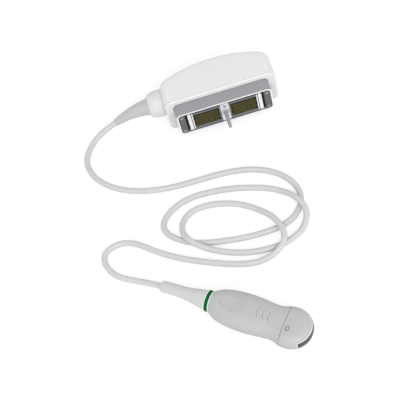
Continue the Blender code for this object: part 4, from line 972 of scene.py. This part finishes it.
def make_housing(colours):
    """The two moulded halves, with their mouth for the skirt, the gland's seat and the lever's well."""
    white = moulding("housing white", colours.housing, 0.36, mottle=0.012, grain=1900)
    seat = drum(COLLAR_RADIUS + SEAT_GAP, (-HALF_LENGTH, GLAND_DEPTH, 0), SEAT_DEPTH, TO_X)
    outer = carve(housing_form(0, HOUSING_EDGE, HOUSING_FACE_EDGE), [seat], "UNION")
    mouth = rounded_rectangle(
        SKIRT_HALF_LENGTH + MOUTH_GAP, SKIRT_HALF_HEIGHT + MOUTH_GAP, SKIRT_CORNER + MOUTH_GAP,
    )
    tools = [
        housing_form(HOUSING_WALL, HOUSING_EDGE - HOUSING_WALL, 0),
        extruded(mouth, 0, MOUTH_DEPTH),
        drum(CABLE_HOLE_RADIUS, (-2 * HALF_LENGTH, GLAND_DEPTH, 0), HALF_LENGTH + CABLE_HOLE_DEPTH, TO_X),
        drum(WELL_RADIUS + MOUTH_GAP, (0, DOME_DEPTH - WELL_HOLE_DEPTH, 0), 2 * WELL_HOLE_DEPTH, TO_Y),
        face_line(),
    ]
    for x, y in HOUSING_SCREWS:
        tools.append(drum(SCREW_HOLE, (x, y, -HALF_THICKNESS - MM), 4 * MM, Matrix.Identity(4), 48))
    shell = carve(outer, tools)
    far = 3 * HALF_LENGTH
    for side, low, high in (("upper", -far, PARTING), ("lower", -PARTING, far)):
        half = carve(shell.copy(), [slab((-far, -far, low), (far, far, high))])
        name, node = f"housing_shell_{side}", f"housing_{side}"
        add_piece(name, half, white, "probe", [node], CONNECTOR)
    bpy.data.meshes.remove(shell)


def make_collar(colours):
    """The turned collar that carries the cable's boot."""
    white = moulding("collar white", shade_of(colours.housing, 0.9), 0.38, mottle=0.012, grain=1900)
    length, radius, edge = COLLAR_LENGTH, COLLAR_RADIUS, COLLAR_EDGE
    heights = (edge, length * 0.5, length * 0.77, length * 0.91, length)
    sizes = (radius, radius * 0.98, radius * 0.90, radius * 0.80, BOOT_ROOT_RADIUS + 0.4 * MM)
    marks = np.linspace(heights[0], heights[-1], 28)
    outside = [(float(r), float(h)) for r, h in zip(natural_spline(heights, sizes, marks), marks)]
    profile = [(radius - edge, 0.0), *outside, (COLLAR_BORE, length + 0.05 * MM), (COLLAR_BORE, 0.0)]
    mesh = lathe("gland collar", profile, 128, closed=True)
    mesh.transform(Matrix.Translation((-HALF_LENGTH, GLAND_DEPTH, 0)) @ TO_MINUS_X)
    add_piece("gland_collar_form", mesh, white, "probe", ["gland_collar"], CONNECTOR)


def make_skirt(colours):
    """The drawn metal skirt with its machined rim."""
    plated = metal("skirt plating", colours.skirt, 0.36, (0.12, 1, 1), metallic=0.35, grain=500)
    bright = metal("machined rim", (0.88, 0.88, 0.89), 0.25, (1, 1, 1), metallic=0.25)
    back = SKIRT_HIGH.y - SKIRT_LOW.y
    edge = SKIRT_EDGE
    soft = edge * (1 - math.sqrt(0.5))
    stations = (
        (0, back), (0, edge), (soft, soft), (edge, 0),
        (SKIRT_WALL - edge, 0), (SKIRT_WALL - soft, soft), (SKIRT_WALL, edge), (SKIRT_WALL, back),
    )
    outline = (SKIRT_HALF_LENGTH, SKIRT_HALF_HEIGHT, SKIRT_CORNER)
    rings = []
    for inset, depth in stations:
        loop = rounded_rectangle(*(size - inset for size in outline), 12)
        rings.append([(x, depth, z) for x, z in loop])
    mesh = shaded("metal skirt", ring_loft(rings, caps=False, around=True))
    mesh.materials.append(plated)
    mesh.materials.append(bright)
    for face in mesh.polygons:
        face.material_index = int(face.center.y < edge * 1.01)
    add_piece("metal_skirt_form", mesh, None, "probe", ["metal_skirt"], CONNECTOR)


def make_contacts(colours, layout):
    """Plated contacts on the ribs of both blocks."""
    gold = metal("contact plating", colours.contact, 0.5, metallic=0.3, grain=2600)
    tree = contact_field_tree()
    top = SKIRT_LOW.y + BLOCK_RECESS - BLOCK_RISE
    for side in SIDES:
        low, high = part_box(f"contact_block_{side}")
        middle = (low + high) / 2
        mesh = grown(tree, [(0, 0, 0)], {
            "Rows": layout.rows, "Columns": layout.columns,
            "Row Pitch": layout.row_pitch, "Column Pitch": layout.column_pitch,
            "Pad Length": layout.pad_length, "Pad Width": layout.pad_width, "Pad Height": layout.pad_height,
            "Centre": (middle.x, top, middle.z), "Material": gold,
        })
        add_piece(f"contacts_{side}", mesh, gold, "probe", [])


def dress_contact_face():
    """Finishes of the flat pieces inside the skirt, which keep their CAD solids."""
    # dark is the insulator's own black, and also the painted shade on the contact frames' sides.
    dark, bright = (0.012, 0.012, 0.012), (0.85, 0.85, 0.85)
    for piece, material in (
        ("contact_block", moulding("contact block black", (0.006, 0.006, 0.005), 0.7, 0.1, 2600, gloss=0.2)),
        ("contact_frame", frame_metal("contact frame metal with painted shade", (0.165, 0.168, 0.178), bright, dark)),
        ("guide_bar", metal("guide bar metal", (0.88, 0.88, 0.89), 0.28, (1, 1, 0.08), 0.35)),
        ("end_plate", metal("end plate metal", (0.12, 0.12, 0.122), 0.5, (0.15, 1, 1), 0.2)),
    ):
        dress([f"{piece}_{side}" for side in SIDES], material)
    dress(["insulator_body"], moulding("insulator black", dark, 0.6, 0.1, 1600, gloss=0.25))
    dress(["centre_plate"], metal("centre plate metal", (0.72, 0.74, 0.75), 0.35, (1, 1, 0.12), 0.3))


def make_screws():
    """Recessed screws of the contact face, the housing's underside and the lever."""
    polished = metal("face screw steel", (0.60, 0.60, 0.62), 0.25, grain=1400)
    plain = metal("housing screw steel", (0.48, 0.48, 0.50), 0.38, grain=1400)
    face_screws = ["centre_screw", *(f"plate_screw_{side}_{number}" for side in SIDES for number in (1, 2))]
    housing_screws = [f"housing_screw_{number}" for number in (1, 2, 3, 4)]
    tree = screw_tree()
    face = (FACE_SCREW, FACE_SCREW_TURN, 1, -1, polished, "face_screw_steel")
    underside = (HOUSING_SCREW, UNDERSIDE_SCREW_TURN, 2, -1, plain, "screw_steel")
    lever = (LEVER_SCREW, LEVER_SCREW_TURN, 1, 1, plain, "screw_steel")
    for name, nodes, body, ((radius, height), turn, axis, outward, material, slot) in (
        ("face_screws", face_screws, "probe", face),
        ("housing_screws", housing_screws, "probe", underside),
        ("lever_screw_head", ["lever_screw"], "lock", lever),
    ):
        points = []
        for node in nodes:
            low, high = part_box(node)
            point = (low + high) / 2
            end = high if outward > 0 else low
            point[axis] = end[axis] - outward * CROWN_TOP * height
            points.append(point)
        mesh = grown(tree, points, {
            "Head Radius": radius, "Head Height": height,
            "Recess Width": radius * RECESS_WIDTH, "Recess Depth": height * RECESS_DEPTH,
            "Turn": turn, "Spin": SCREW_SPIN, "Material": material,
        })
        add_piece(name, mesh, material, body, nodes)


def make_lock(colours):
    """The lock shaft in its bush, and the lever in its well on the housing's back."""
    steel = metal("shaft steel", (0.40, 0.405, 0.415), 0.35, (1, 0.08, 1), 0.25)
    bronze = metal("bush bronze", (0.52, 0.525, 0.53), 0.4, metallic=0.35)
    grey = moulding("lever grey", (0.53, 0.54, 0.55), 0.42, 0.02, 2000)
    well_white = moulding("well white", shade_of(colours.housing, 0.93), 0.45, 0.015, 1700)

    low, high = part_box("lock_shaft")
    length = high.y - low.y
    step, tail = SHAFT_REACH + SHAFT_SHOULDER, length - SHAFT_TAIL
    flat = SHAFT_TIP_RADIUS - SHAFT_TIP_EDGE
    turns = np.linspace(0.2, math.pi / 2, 6)
    tip = [(flat + SHAFT_TIP_EDGE * math.sin(a), SHAFT_TIP_EDGE * (1 - math.cos(a))) for a in turns]
    shaft = lathe("lock shaft", [
        (0, 0), (flat, 0), *tip, (SHAFT_TIP_RADIUS, step), (SHAFT_RADIUS, step), (SHAFT_RADIUS, tail),
        (SHAFT_TAIL_RADIUS, tail), (SHAFT_TAIL_RADIUS, length), (0, length),
    ], 64)
    shaft.transform(Matrix.Translation((0, low.y, HALF_THICKNESS)) @ TO_Y)
    add_piece("lock_shaft_form", shaft, steel, "lock", ["lock_shaft"])

    dress(["shaft_bush"], bronze)

    low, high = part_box("lever_well")
    rim, floor = high.y, high.y - WELL_DEPTH
    inner, outer, edge = WELL_RADIUS - WELL_WALL, WELL_RADIUS, WELL_EDGE
    near, fillet = 0.35 * MM, WELL_FILLET
    well = lathe("lever well", [
        (inner + edge, rim), (outer - edge, rim), (outer, rim - edge), (outer, low.y),
        (WELL_BORE, low.y), (WELL_BORE, floor), (inner - fillet, floor),
        (inner - near, floor + near), (inner, floor + fillet), (inner, rim - edge),
    ], 128, closed=True)
    well.transform(Matrix.Translation((0, 0, HALF_THICKNESS)) @ TO_Y)
    add_piece("lever_well_form", well, well_white, "probe", ["lever_well"])

    low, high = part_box("lock_lever")
    end = (high.z - low.z) / 2
    half = high.x - end
    quarter = math.pi / 2
    loop = arc((half, 0), end, -quarter, quarter, 24) + arc((-half, 0), end, quarter, 3 * quarter, 24)
    lever = softened(extruded(loop, low.y, high.y), LEVER_EDGE, 5)
    lever.transform(Matrix.Translation((0, 0, HALF_THICKNESS)))
    seat = drum(LEVER_SEAT_RADIUS, (0, high.y - LEVER_SEAT_DEPTH, HALF_THICKNESS), 4 * MM, TO_Y, 64)
    add_piece("lock_lever_form", carve(lever, [seat]), grey, "lock", ["lock_lever"])


# The cable and its boots


def make_cable(colours):
    """The free cable as one open curve through its route."""
    sheath = rubber("cable sheath", colours.cable, 0.42, sheen=0.05)
    curve = round_line("cable", cable_centreline(5 * CABLE_POINTS), CABLE_RADIUS, 8)
    curve.materials.append(sheath)
    cable = helper("cable_run", curve)
    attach(cable, "probe")
    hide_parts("cable")


def make_boots(colours):
    """The tapered boots at the connector and at the handle."""
    cable = cable_centreline(CABLE_POINTS)
    grey = rubber("connector boot rubber", shade_of(colours.boot, 0.85), 0.45)
    collar_end = -HALF_LENGTH - COLLAR_LENGTH
    root = Vector((collar_end, 0, HALF_THICKNESS))
    bend = easy_bend(root, (-1, 0, 0), cable[0], cable[1] - cable[0], BOOT_PULL, 60)
    shares = np.linspace(0, 1, len(bend))
    radii = BOOT_ROOT_RADIUS + (BOOT_TIP_RADIUS - BOOT_ROOT_RADIUS) * shares**0.9
    radii[-3:] = radii[-3] - np.array([0.0, 0.12, 0.5]) * MM
    inside, thinner = BOOT_SPIGOT
    points = np.vstack([[collar_end + inside, 0, HALF_THICKNESS], bend])
    mesh = sleeve("connector boot", points, [BOOT_ROOT_RADIUS - thinner, *radii], grey)
    add_piece("connector_boot_form", mesh, grey, "probe", ["connector_boot"])

    pale = rubber("handle boot rubber", colours.boot, 0.45)
    axis = (HANDLE.to_3x3() @ Vector((1, 0, 0))).normalized()
    start = HANDLE_RING - (RING_HALF_WIDTH + 0.1 * MM) * axis
    path = easy_bend(start, -axis, cable[-1], cable[-2] - cable[-1], HANDLE_BOOT_PULL, 240)
    total, longest = distances(path)[-1], HANDLE_BOOT[-1][0]
    marks = [total * distance / longest for distance, _ in HANDLE_BOOT]
    sizes = [radius * MM for _, radius in HANDLE_BOOT]
    body = np.linspace(marks[2], marks[-2], 60)
    smooth = natural_spline(marks[2:-1], sizes[2:-1], body)
    wanted = np.concatenate([marks[:2], body, [marks[-1] - 0.4 * MM, marks[-1]]])
    radii = np.concatenate([sizes[:2], smooth, [sizes[-2] - 0.1 * MM, sizes[-1]]])
    mesh = sleeve("handle boot", at_distances(path, wanted), radii, pale)
    add_piece("handle_boot_form", mesh, pale, "probe", ["handle_boot"])


# The handle


def section(s):
    """Half-width, half-depth and squareness of the handle at a distance from its ring."""
    table = list(zip(HANDLE_HALF_WIDTHS, HANDLE_HALF_DEPTHS, HANDLE_SQUARENESS))
    width, depth, power = natural_spline(HANDLE_STATIONS, table, [s / MM])[0]
    return width * MM, depth * MM, power


def section_ring(s, inset, angles):
    width, depth, power = section(s)
    across, up = np.cos(angles), np.sin(angles)
    y = (width - inset) * np.sign(across) * np.abs(across) ** (2 / power)
    z = (depth - inset) * np.sign(up) * np.abs(up) ** (2 / power)
    return y, z


def surface_height(s, y):
    width, depth, power = section(s)
    return depth * (1 - (abs(y) / width) ** power) ** (1 / power)


def thumb_bowl(s, y, depth):
    """Height of the thumb recess's bowl, and no limit outside it."""
    inside = 1 - ((s - THUMB_AT) / THUMB_BOWL[0]) ** 2 - (y / THUMB_BOWL[1]) ** 2
    bottom = surface_height(THUMB_AT, 0) - depth
    return np.where(inside > 0, bottom + THUMB_BOWL[2] * (1 - np.sqrt(np.maximum(inside, 0))), 1.0)


def groove_cut(s, y, relief):
    """How deep the curved grip grooves lie under the surface."""
    deepest = np.zeros_like(y)
    for number in range(GROOVE_COUNT):
        along = np.clip(y, -GROOVE_HALF_CHORD, GROOVE_HALF_CHORD)
        line = GROOVE_FIRST + number * GROOVE_PITCH + GROOVE_BOW * (along / GROOVE_HALF_CHORD) ** 2
        slope = 2 * GROOVE_BOW * along / GROOVE_HALF_CHORD**2
        aside = (s - line) / np.sqrt(1 + slope**2)
        reach = np.sqrt(aside**2 + (y - along) ** 2) / relief.groove_width
        deepest = np.maximum(deepest, relief.groove_depth * np.exp(-(reach**2)))
    return deepest


def shell_rings(side, stations, columns, relief):
    """Rings of one half shell: its outer surface with its relief, and a plain inner surface."""
    angles = np.linspace(0, side * math.pi, columns)
    inner_angles = np.linspace(side * math.pi, 0, 13)
    rings = []
    for s in stations:
        rounding = max(0, s - (SEAM - SEAM_GAP - 0.3 * MM)) * 0.5
        y, z = section_ring(s, rounding, angles)
        if side > 0:
            bowl = thumb_bowl(s, y, relief.thumb_depth)
            outline = relief.outline_depth * np.exp(-(((z - bowl) / (0.05 * MM)) ** 2))
            z = np.minimum(z, bowl) - (groove_cut(s, y, relief) + outline) * (z > 3 * MM)
        inner_y, inner_z = section_ring(s, HANDLE_WALL, inner_angles)
        lift = side * SHELL_PARTING
        rings.append([(s, a, b + lift) for a, b in (*zip(y, z), *zip(inner_y, inner_z))])
    return rings


def make_handle(colours, relief):
    """The two half shells of the grip."""
    grey = moulding("handle grey", colours.handle, 0.44, 0.015, 2600, 0.02 * MM)
    end = SEAM - SEAM_GAP
    for half, side, count, columns in (("upper", 1, 300, 171), ("lower", -1, 120, 91)):
        stations = np.concatenate([
            np.linspace(HANDLE_START, end - 0.35 * MM, count), np.linspace(end - 0.3 * MM, end, 5),
        ])
        mesh = shaded(f"handle_grip_{half}", ring_loft(shell_rings(side, stations, columns, relief)), 50)
        node = f"handle_shell_{half}"
        add_piece(f"handle_grip_{half}", mesh, grey, "probe", [node], HANDLE)


def head_rings(count):
    """Rings of the head, from the spigot inside the shells over the seam to its centre."""
    angles = np.linspace(0, 2 * math.pi, 4 * count, endpoint=False)
    face = SEAM + SEAM_GAP
    stations = [
        (SEAM - SPIGOT_LENGTH, SPIGOT_INSET), (face, SPIGOT_INSET),
        (face, 0.25 * MM), (face + 0.1 * MM, 0.1 * MM), (face + 0.3 * MM, 0),
    ]
    stations += [(s, 0) for s in np.linspace(face + 0.8 * MM, HEAD_CENTRE, 16)]
    rings = []
    for s, inset in stations:
        y, z = section_ring(s, inset, angles)
        rings.append([(s, a, b) for a, b in zip(y, z)])
    return rings


def head_mesh(count):
    """The closed head: its rings, and the columns of its half turn round the front."""
    bm = ring_loft(head_rings(count), caps=False)
    back = [e for e in bm.edges if e.is_boundary and e.verts[0].co.x < SEAM]
    bmesh.ops.contextual_create(bm, geom=back)
    width, depth, power = section(HEAD_CENTRE)
    tilts = np.linspace(math.pi / 2, -math.pi / 2, 2 * count + 1)
    radius = width * np.abs(np.cos(tilts)) ** (2 / power)
    height = depth * np.sign(np.sin(tilts)) * np.abs(np.sin(tilts)) ** (2 / power)
    columns = []
    for around in np.linspace(math.pi / 2, -math.pi / 2, 4 * count + 1):
        c, s = math.cos(around), math.sin(around)
        columns.append([bm.verts.new((HEAD_CENTRE + r * c, r * s, h)) for r, h in zip(radius, height)])
    for near, far in zip(columns, columns[1:]):
        for j in range(2 * count):
            bm.faces.new((near[j], near[j + 1], far[j + 1], far[j]))
    bmesh.ops.remove_doubles(bm, verts=bm.verts, dist=0.004 * MM)
    return shaded("head", bm, 40)


def swept(profile, half_angle, steps):
    """A (radius, height) outline swept about the head's centre, as far to each side."""
    rings = []
    for a in np.linspace(-half_angle, half_angle, steps):
        rings.append([(HEAD_CENTRE + r * math.cos(a), r * math.sin(a), h) for r, h in profile])
    return shaded("sweep", ring_loft(rings))


def head_edge(height):
    """Radius of the head's front at a height from its middle."""
    power = HANDLE_SQUARENESS[-1]
    return HEAD_RADIUS * (1 - (abs(height) / HEAD_HALF_THICKNESS) ** power) ** (1 / power)


def bead(name, points, radius):
    """A closed round bead through points, as a mesh."""
    mesh = baked(helper(name, round_line(name, points, radius, 4, closed=True)))
    mesh.shade_smooth()
    return mesh


def window_line(half, angle):
    """The closed line round the lens on the head's surface."""
    corner = 0.8 * MM
    points = []
    for height, start, end in ((half, -angle, angle), (-half, angle, -angle)):
        radius = head_edge(half)
        inset = math.copysign(corner / radius, end - start)
        for a in np.linspace(start + inset, end - inset, 60):
            points.append((HEAD_CENTRE + radius * math.cos(a), radius * math.sin(a), height))
        inset = math.copysign(corner, height)
        for h in np.linspace(height - inset, inset - height, 12):
            radius = head_edge(h)
            points.append((HEAD_CENTRE + radius * math.cos(end), radius * math.sin(end), h))
    return points


def make_head(colours, relief):
    """The head with its lens window, sealing bead and orientation mark."""
    grey = moulding("head grey", colours.handle, 0.44, 0.015, 2600, 0.02 * MM)
    half, angle = LENS_HALF_HEIGHT + LENS_GAP, LENS_HALF_ANGLE + LENS_GAP / HEAD_RADIUS
    inside, outside = HEAD_RADIUS - 6 * MM, HEAD_RADIUS + 3 * MM
    window = swept([(inside, -half), (outside, -half), (outside, half), (inside, half)], angle, 120)
    head = carve(head_mesh(26), [window])
    add_piece("head_form", head, grey, "probe", ["nose_shell"], HANDLE)

    points = []
    for around in np.linspace(0, 2 * math.pi, 48, endpoint=False):
        s = MARK_AT[0] + MARK_SIZE[0] * math.cos(around)
        y = MARK_AT[1] + MARK_SIZE[1] * math.sin(around)
        points.append((s, y, surface_height(min(s, HEAD_CENTRE), y)))
    mark = bead("orientation mark", points, relief.mark_height)
    dark = moulding("mark grey", shade_of(colours.handle, 0.5), 0.5)
    add_piece("orientation_mark", mark, dark, "probe", [], HANDLE)

    seal = bead("lens seal", window_line(half - 0.1 * MM, angle), SEAL_RADIUS)
    white = moulding("seal white", (0.86, 0.86, 0.865), 0.35, 0.01)
    add_piece("lens_seal", seal, white, "probe", [], HANDLE)


def make_lens(colours):
    """The crowned silicone lens."""
    silicone = rubber("lens silicone", colours.lens, 0.36, 2200, 0.05)
    half, inner = LENS_HALF_HEIGHT, HEAD_RADIUS - LENS_THICKNESS
    crown, edge = HEAD_RADIUS + LENS_CROWN, head_edge(LENS_HALF_HEIGHT)
    bulge = [(edge + (crown - edge) * (1 - (h / half) ** 2), h) for h in np.linspace(-half, half, 25)]
    lens = softened(swept([(inner, -half), *bulge, (inner, half)], LENS_HALF_ANGLE, 110), 0.3 * MM, 3, 50)
    add_piece("acoustic_lens_form", lens, silicone, "probe", ["acoustic_lens"], HANDLE)


def make_ring(colours):
    """The coloured ring, the collar that carries it, and the boot's white lip."""
    green = moulding("ring green", colours.ring, 0.55, 0.02, 2400, 0.008 * MM, gloss=0.05)
    white = moulding("collar light", (0.88, 0.88, 0.885), 0.36, 0.01)
    radius, half, hub = RING_RADIUS, RING_HALF_WIDTH, RING_RADIUS - RING_WALL
    edge = 0.25 * MM
    soft = 0.3 * edge
    ring = lathe("colour ring", [
        (hub, half), (radius - edge, half), (radius - soft, half - soft), (radius, half - edge),
        (radius, edge - half), (radius - soft, soft - half), (radius - edge, -half), (hub, -half),
    ], 128, closed=True)
    add_piece("colour_ring_form", ring, green, "probe", ["colour_ring"], HANDLE @ TO_X)

    lip, near, far = radius + 0.2 * MM, half + 0.1 * MM, half + 1.1 * MM
    spigot, hub, bore, end = 8.2 * MM, 7.7 * MM, 2.9 * MM, 9 * MM
    collar = lathe("ring collar", [
        (spigot, end), (spigot, far), (lip - edge, far), (lip, far - edge), (lip, near + edge),
        (lip - edge, near), (hub, near), (hub, -half), (bore, -half), (bore, end),
    ], 128, closed=True)
    add_piece("ring_collar_form", collar, white, "probe", ["ring_collar"], HANDLE @ TO_X)

    lip, near, far = radius + 0.05 * MM, -half - 0.05 * MM, -half - 0.95 * MM
    inside = 9 * MM
    rim = lathe("boot lip", [
        (inside, near), (lip - edge, near), (lip, near - edge),
        (lip, far + edge), (lip - edge, far), (inside, far),
    ], 128, closed=True)
    add_piece("boot_lip", rim, white, "probe", [], HANDLE @ TO_X)


def dress_insides():
    """Finishes of what the shells hide."""
    dress(["connector_board", "handle_board"], circuit_board("solder mask"))
    dress(["connector_harness", "handle_harness"], rubber("harness jacket", (0.22, 0.22, 0.24), 0.5))
    dress(["flex_upper", "flex_lower"], metal("flex circuit", (0.50, 0.27, 0.08), 0.4, (0.2, 1, 1), 0.3))
    dress(["transducer_array"], diced("diced ceramic", (0.55, 0.50, 0.36), (0.05, 0.04, 0.03)))
    dress(["matching_layer"], diced("matching layer", (0.30, 0.22, 0.12), (0.08, 0.05, 0.03)))
    dress(["backing_block"], rubber("backing epoxy", (0.035, 0.035, 0.04), 0.6))


# Operators


class PROBE_OT_stage(Operator):
    """Sets up the camera, the pale floor and the soft studio light"""

    bl_idname = "probe.stage"
    bl_label = "Stage and light"

    def execute(self, context):
        settings = context.scene.probe_stage
        make_camera()
        make_floor(settings)
        make_room(settings)
        make_key_light(settings)
        context.scene.view_settings.view_transform = "Standard"
        return {"FINISHED"}


class PROBE_OT_cable(Operator):
    """Lays the free cable along its route"""

    bl_idname = "probe.cable"
    bl_label = "Cable"

    def execute(self, context):
        make_cable(context.scene.probe_colours)
        return {"FINISHED"}


class PROBE_OT_boots(Operator):
    """Makes the boots at both ends of the cable"""

    bl_idname = "probe.boots"
    bl_label = "Cable boots"

    def execute(self, context):
        make_boots(context.scene.probe_colours)
        return {"FINISHED"}


class PROBE_OT_housing(Operator):
    """Makes the connector's moulded halves and collar"""

    bl_idname = "probe.housing"
    bl_label = "Connector housing"

    def execute(self, context):
        make_housing(context.scene.probe_colours)
        make_collar(context.scene.probe_colours)
        return {"FINISHED"}


class PROBE_OT_contact_face(Operator):
    """Makes the metal skirt and the contacts, and finishes the flat pieces between them"""

    bl_idname = "probe.contact_face"
    bl_label = "Contact face"

    def execute(self, context):
        make_skirt(context.scene.probe_colours)
        make_contacts(context.scene.probe_colours, context.scene.probe_contacts)
        dress_contact_face()
        return {"FINISHED"}


class PROBE_OT_screws(Operator):
    """Makes all the recessed screws"""

    bl_idname = "probe.screws"
    bl_label = "Screws"

    def execute(self, context):
        make_screws()
        return {"FINISHED"}


class PROBE_OT_lock(Operator):
    """Makes the turning lock: its shaft, lever and well"""

    bl_idname = "probe.lock"
    bl_label = "Connector lock"

    def execute(self, context):
        make_lock(context.scene.probe_colours)
        return {"FINISHED"}


class PROBE_OT_handle(Operator):
    """Makes the handle's shells with the thumb recess and grip grooves"""

    bl_idname = "probe.handle"
    bl_label = "Handle shells"

    def execute(self, context):
        make_handle(context.scene.probe_colours, context.scene.probe_relief)
        return {"FINISHED"}


class PROBE_OT_head(Operator):
    """Makes the handle's head and its acoustic lens"""

    bl_idname = "probe.head"
    bl_label = "Head and lens"

    def execute(self, context):
        make_head(context.scene.probe_colours, context.scene.probe_relief)
        make_lens(context.scene.probe_colours)
        return {"FINISHED"}


class PROBE_OT_ring(Operator):
    """Makes the coloured ring and its collars"""

    bl_idname = "probe.ring"
    bl_label = "Coloured ring"

    def execute(self, context):
        make_ring(context.scene.probe_colours)
        return {"FINISHED"}


class PROBE_OT_insides(Operator):
    """Finishes the pieces inside the connector and the handle"""

    bl_idname = "probe.insides"
    bl_label = "Inner pieces"

    def execute(self, context):
        dress_insides()
        return {"FINISHED"}


OPERATORS = (
    PROBE_OT_stage, PROBE_OT_cable, PROBE_OT_boots, PROBE_OT_housing, PROBE_OT_contact_face, PROBE_OT_screws,
    PROBE_OT_lock, PROBE_OT_handle, PROBE_OT_head, PROBE_OT_ring, PROBE_OT_insides,
)
SETTINGS = {
    "probe_colours": ProbeColours, "probe_contacts": ContactLayout,
    "probe_relief": HandleRelief, "probe_stage": StageSettings,
}


class PROBE_PT_sidebar(Panel):
    """Lists the probe's pieces and their settings"""

    bl_label = "Ultrasound probe"
    bl_idname = "PROBE_PT_sidebar"
    bl_space_type = "VIEW_3D"
    bl_region_type = "UI"
    bl_category = "Probe"

    def draw(self, context):
        layout = self.layout
        for operator in OPERATORS:
            layout.operator(operator.bl_idname)
        for name, group in SETTINGS.items():
            box = layout.box()
            settings = getattr(context.scene, name)
            for key in group.__annotations__:
                box.prop(settings, key)


def register():
    for group in SETTINGS.values():
        bpy.utils.register_class(group)
    for name, group in SETTINGS.items():
        setattr(bpy.types.Scene, name, PointerProperty(type=group))
    for made in (*OPERATORS, PROBE_PT_sidebar):
        bpy.utils.register_class(made)


def unregister():
    for made in reversed((*OPERATORS, PROBE_PT_sidebar)):
        bpy.utils.unregister_class(made)
    for name in SETTINGS:
        delattr(bpy.types.Scene, name)
    for group in reversed(list(SETTINGS.values())):
        bpy.utils.unregister_class(group)


def main():
    register()
    for operator in OPERATORS:
        area, name = operator.bl_idname.split(".")
        getattr(getattr(bpy.ops, area), name)()


if __name__ == "__main__":
    main()
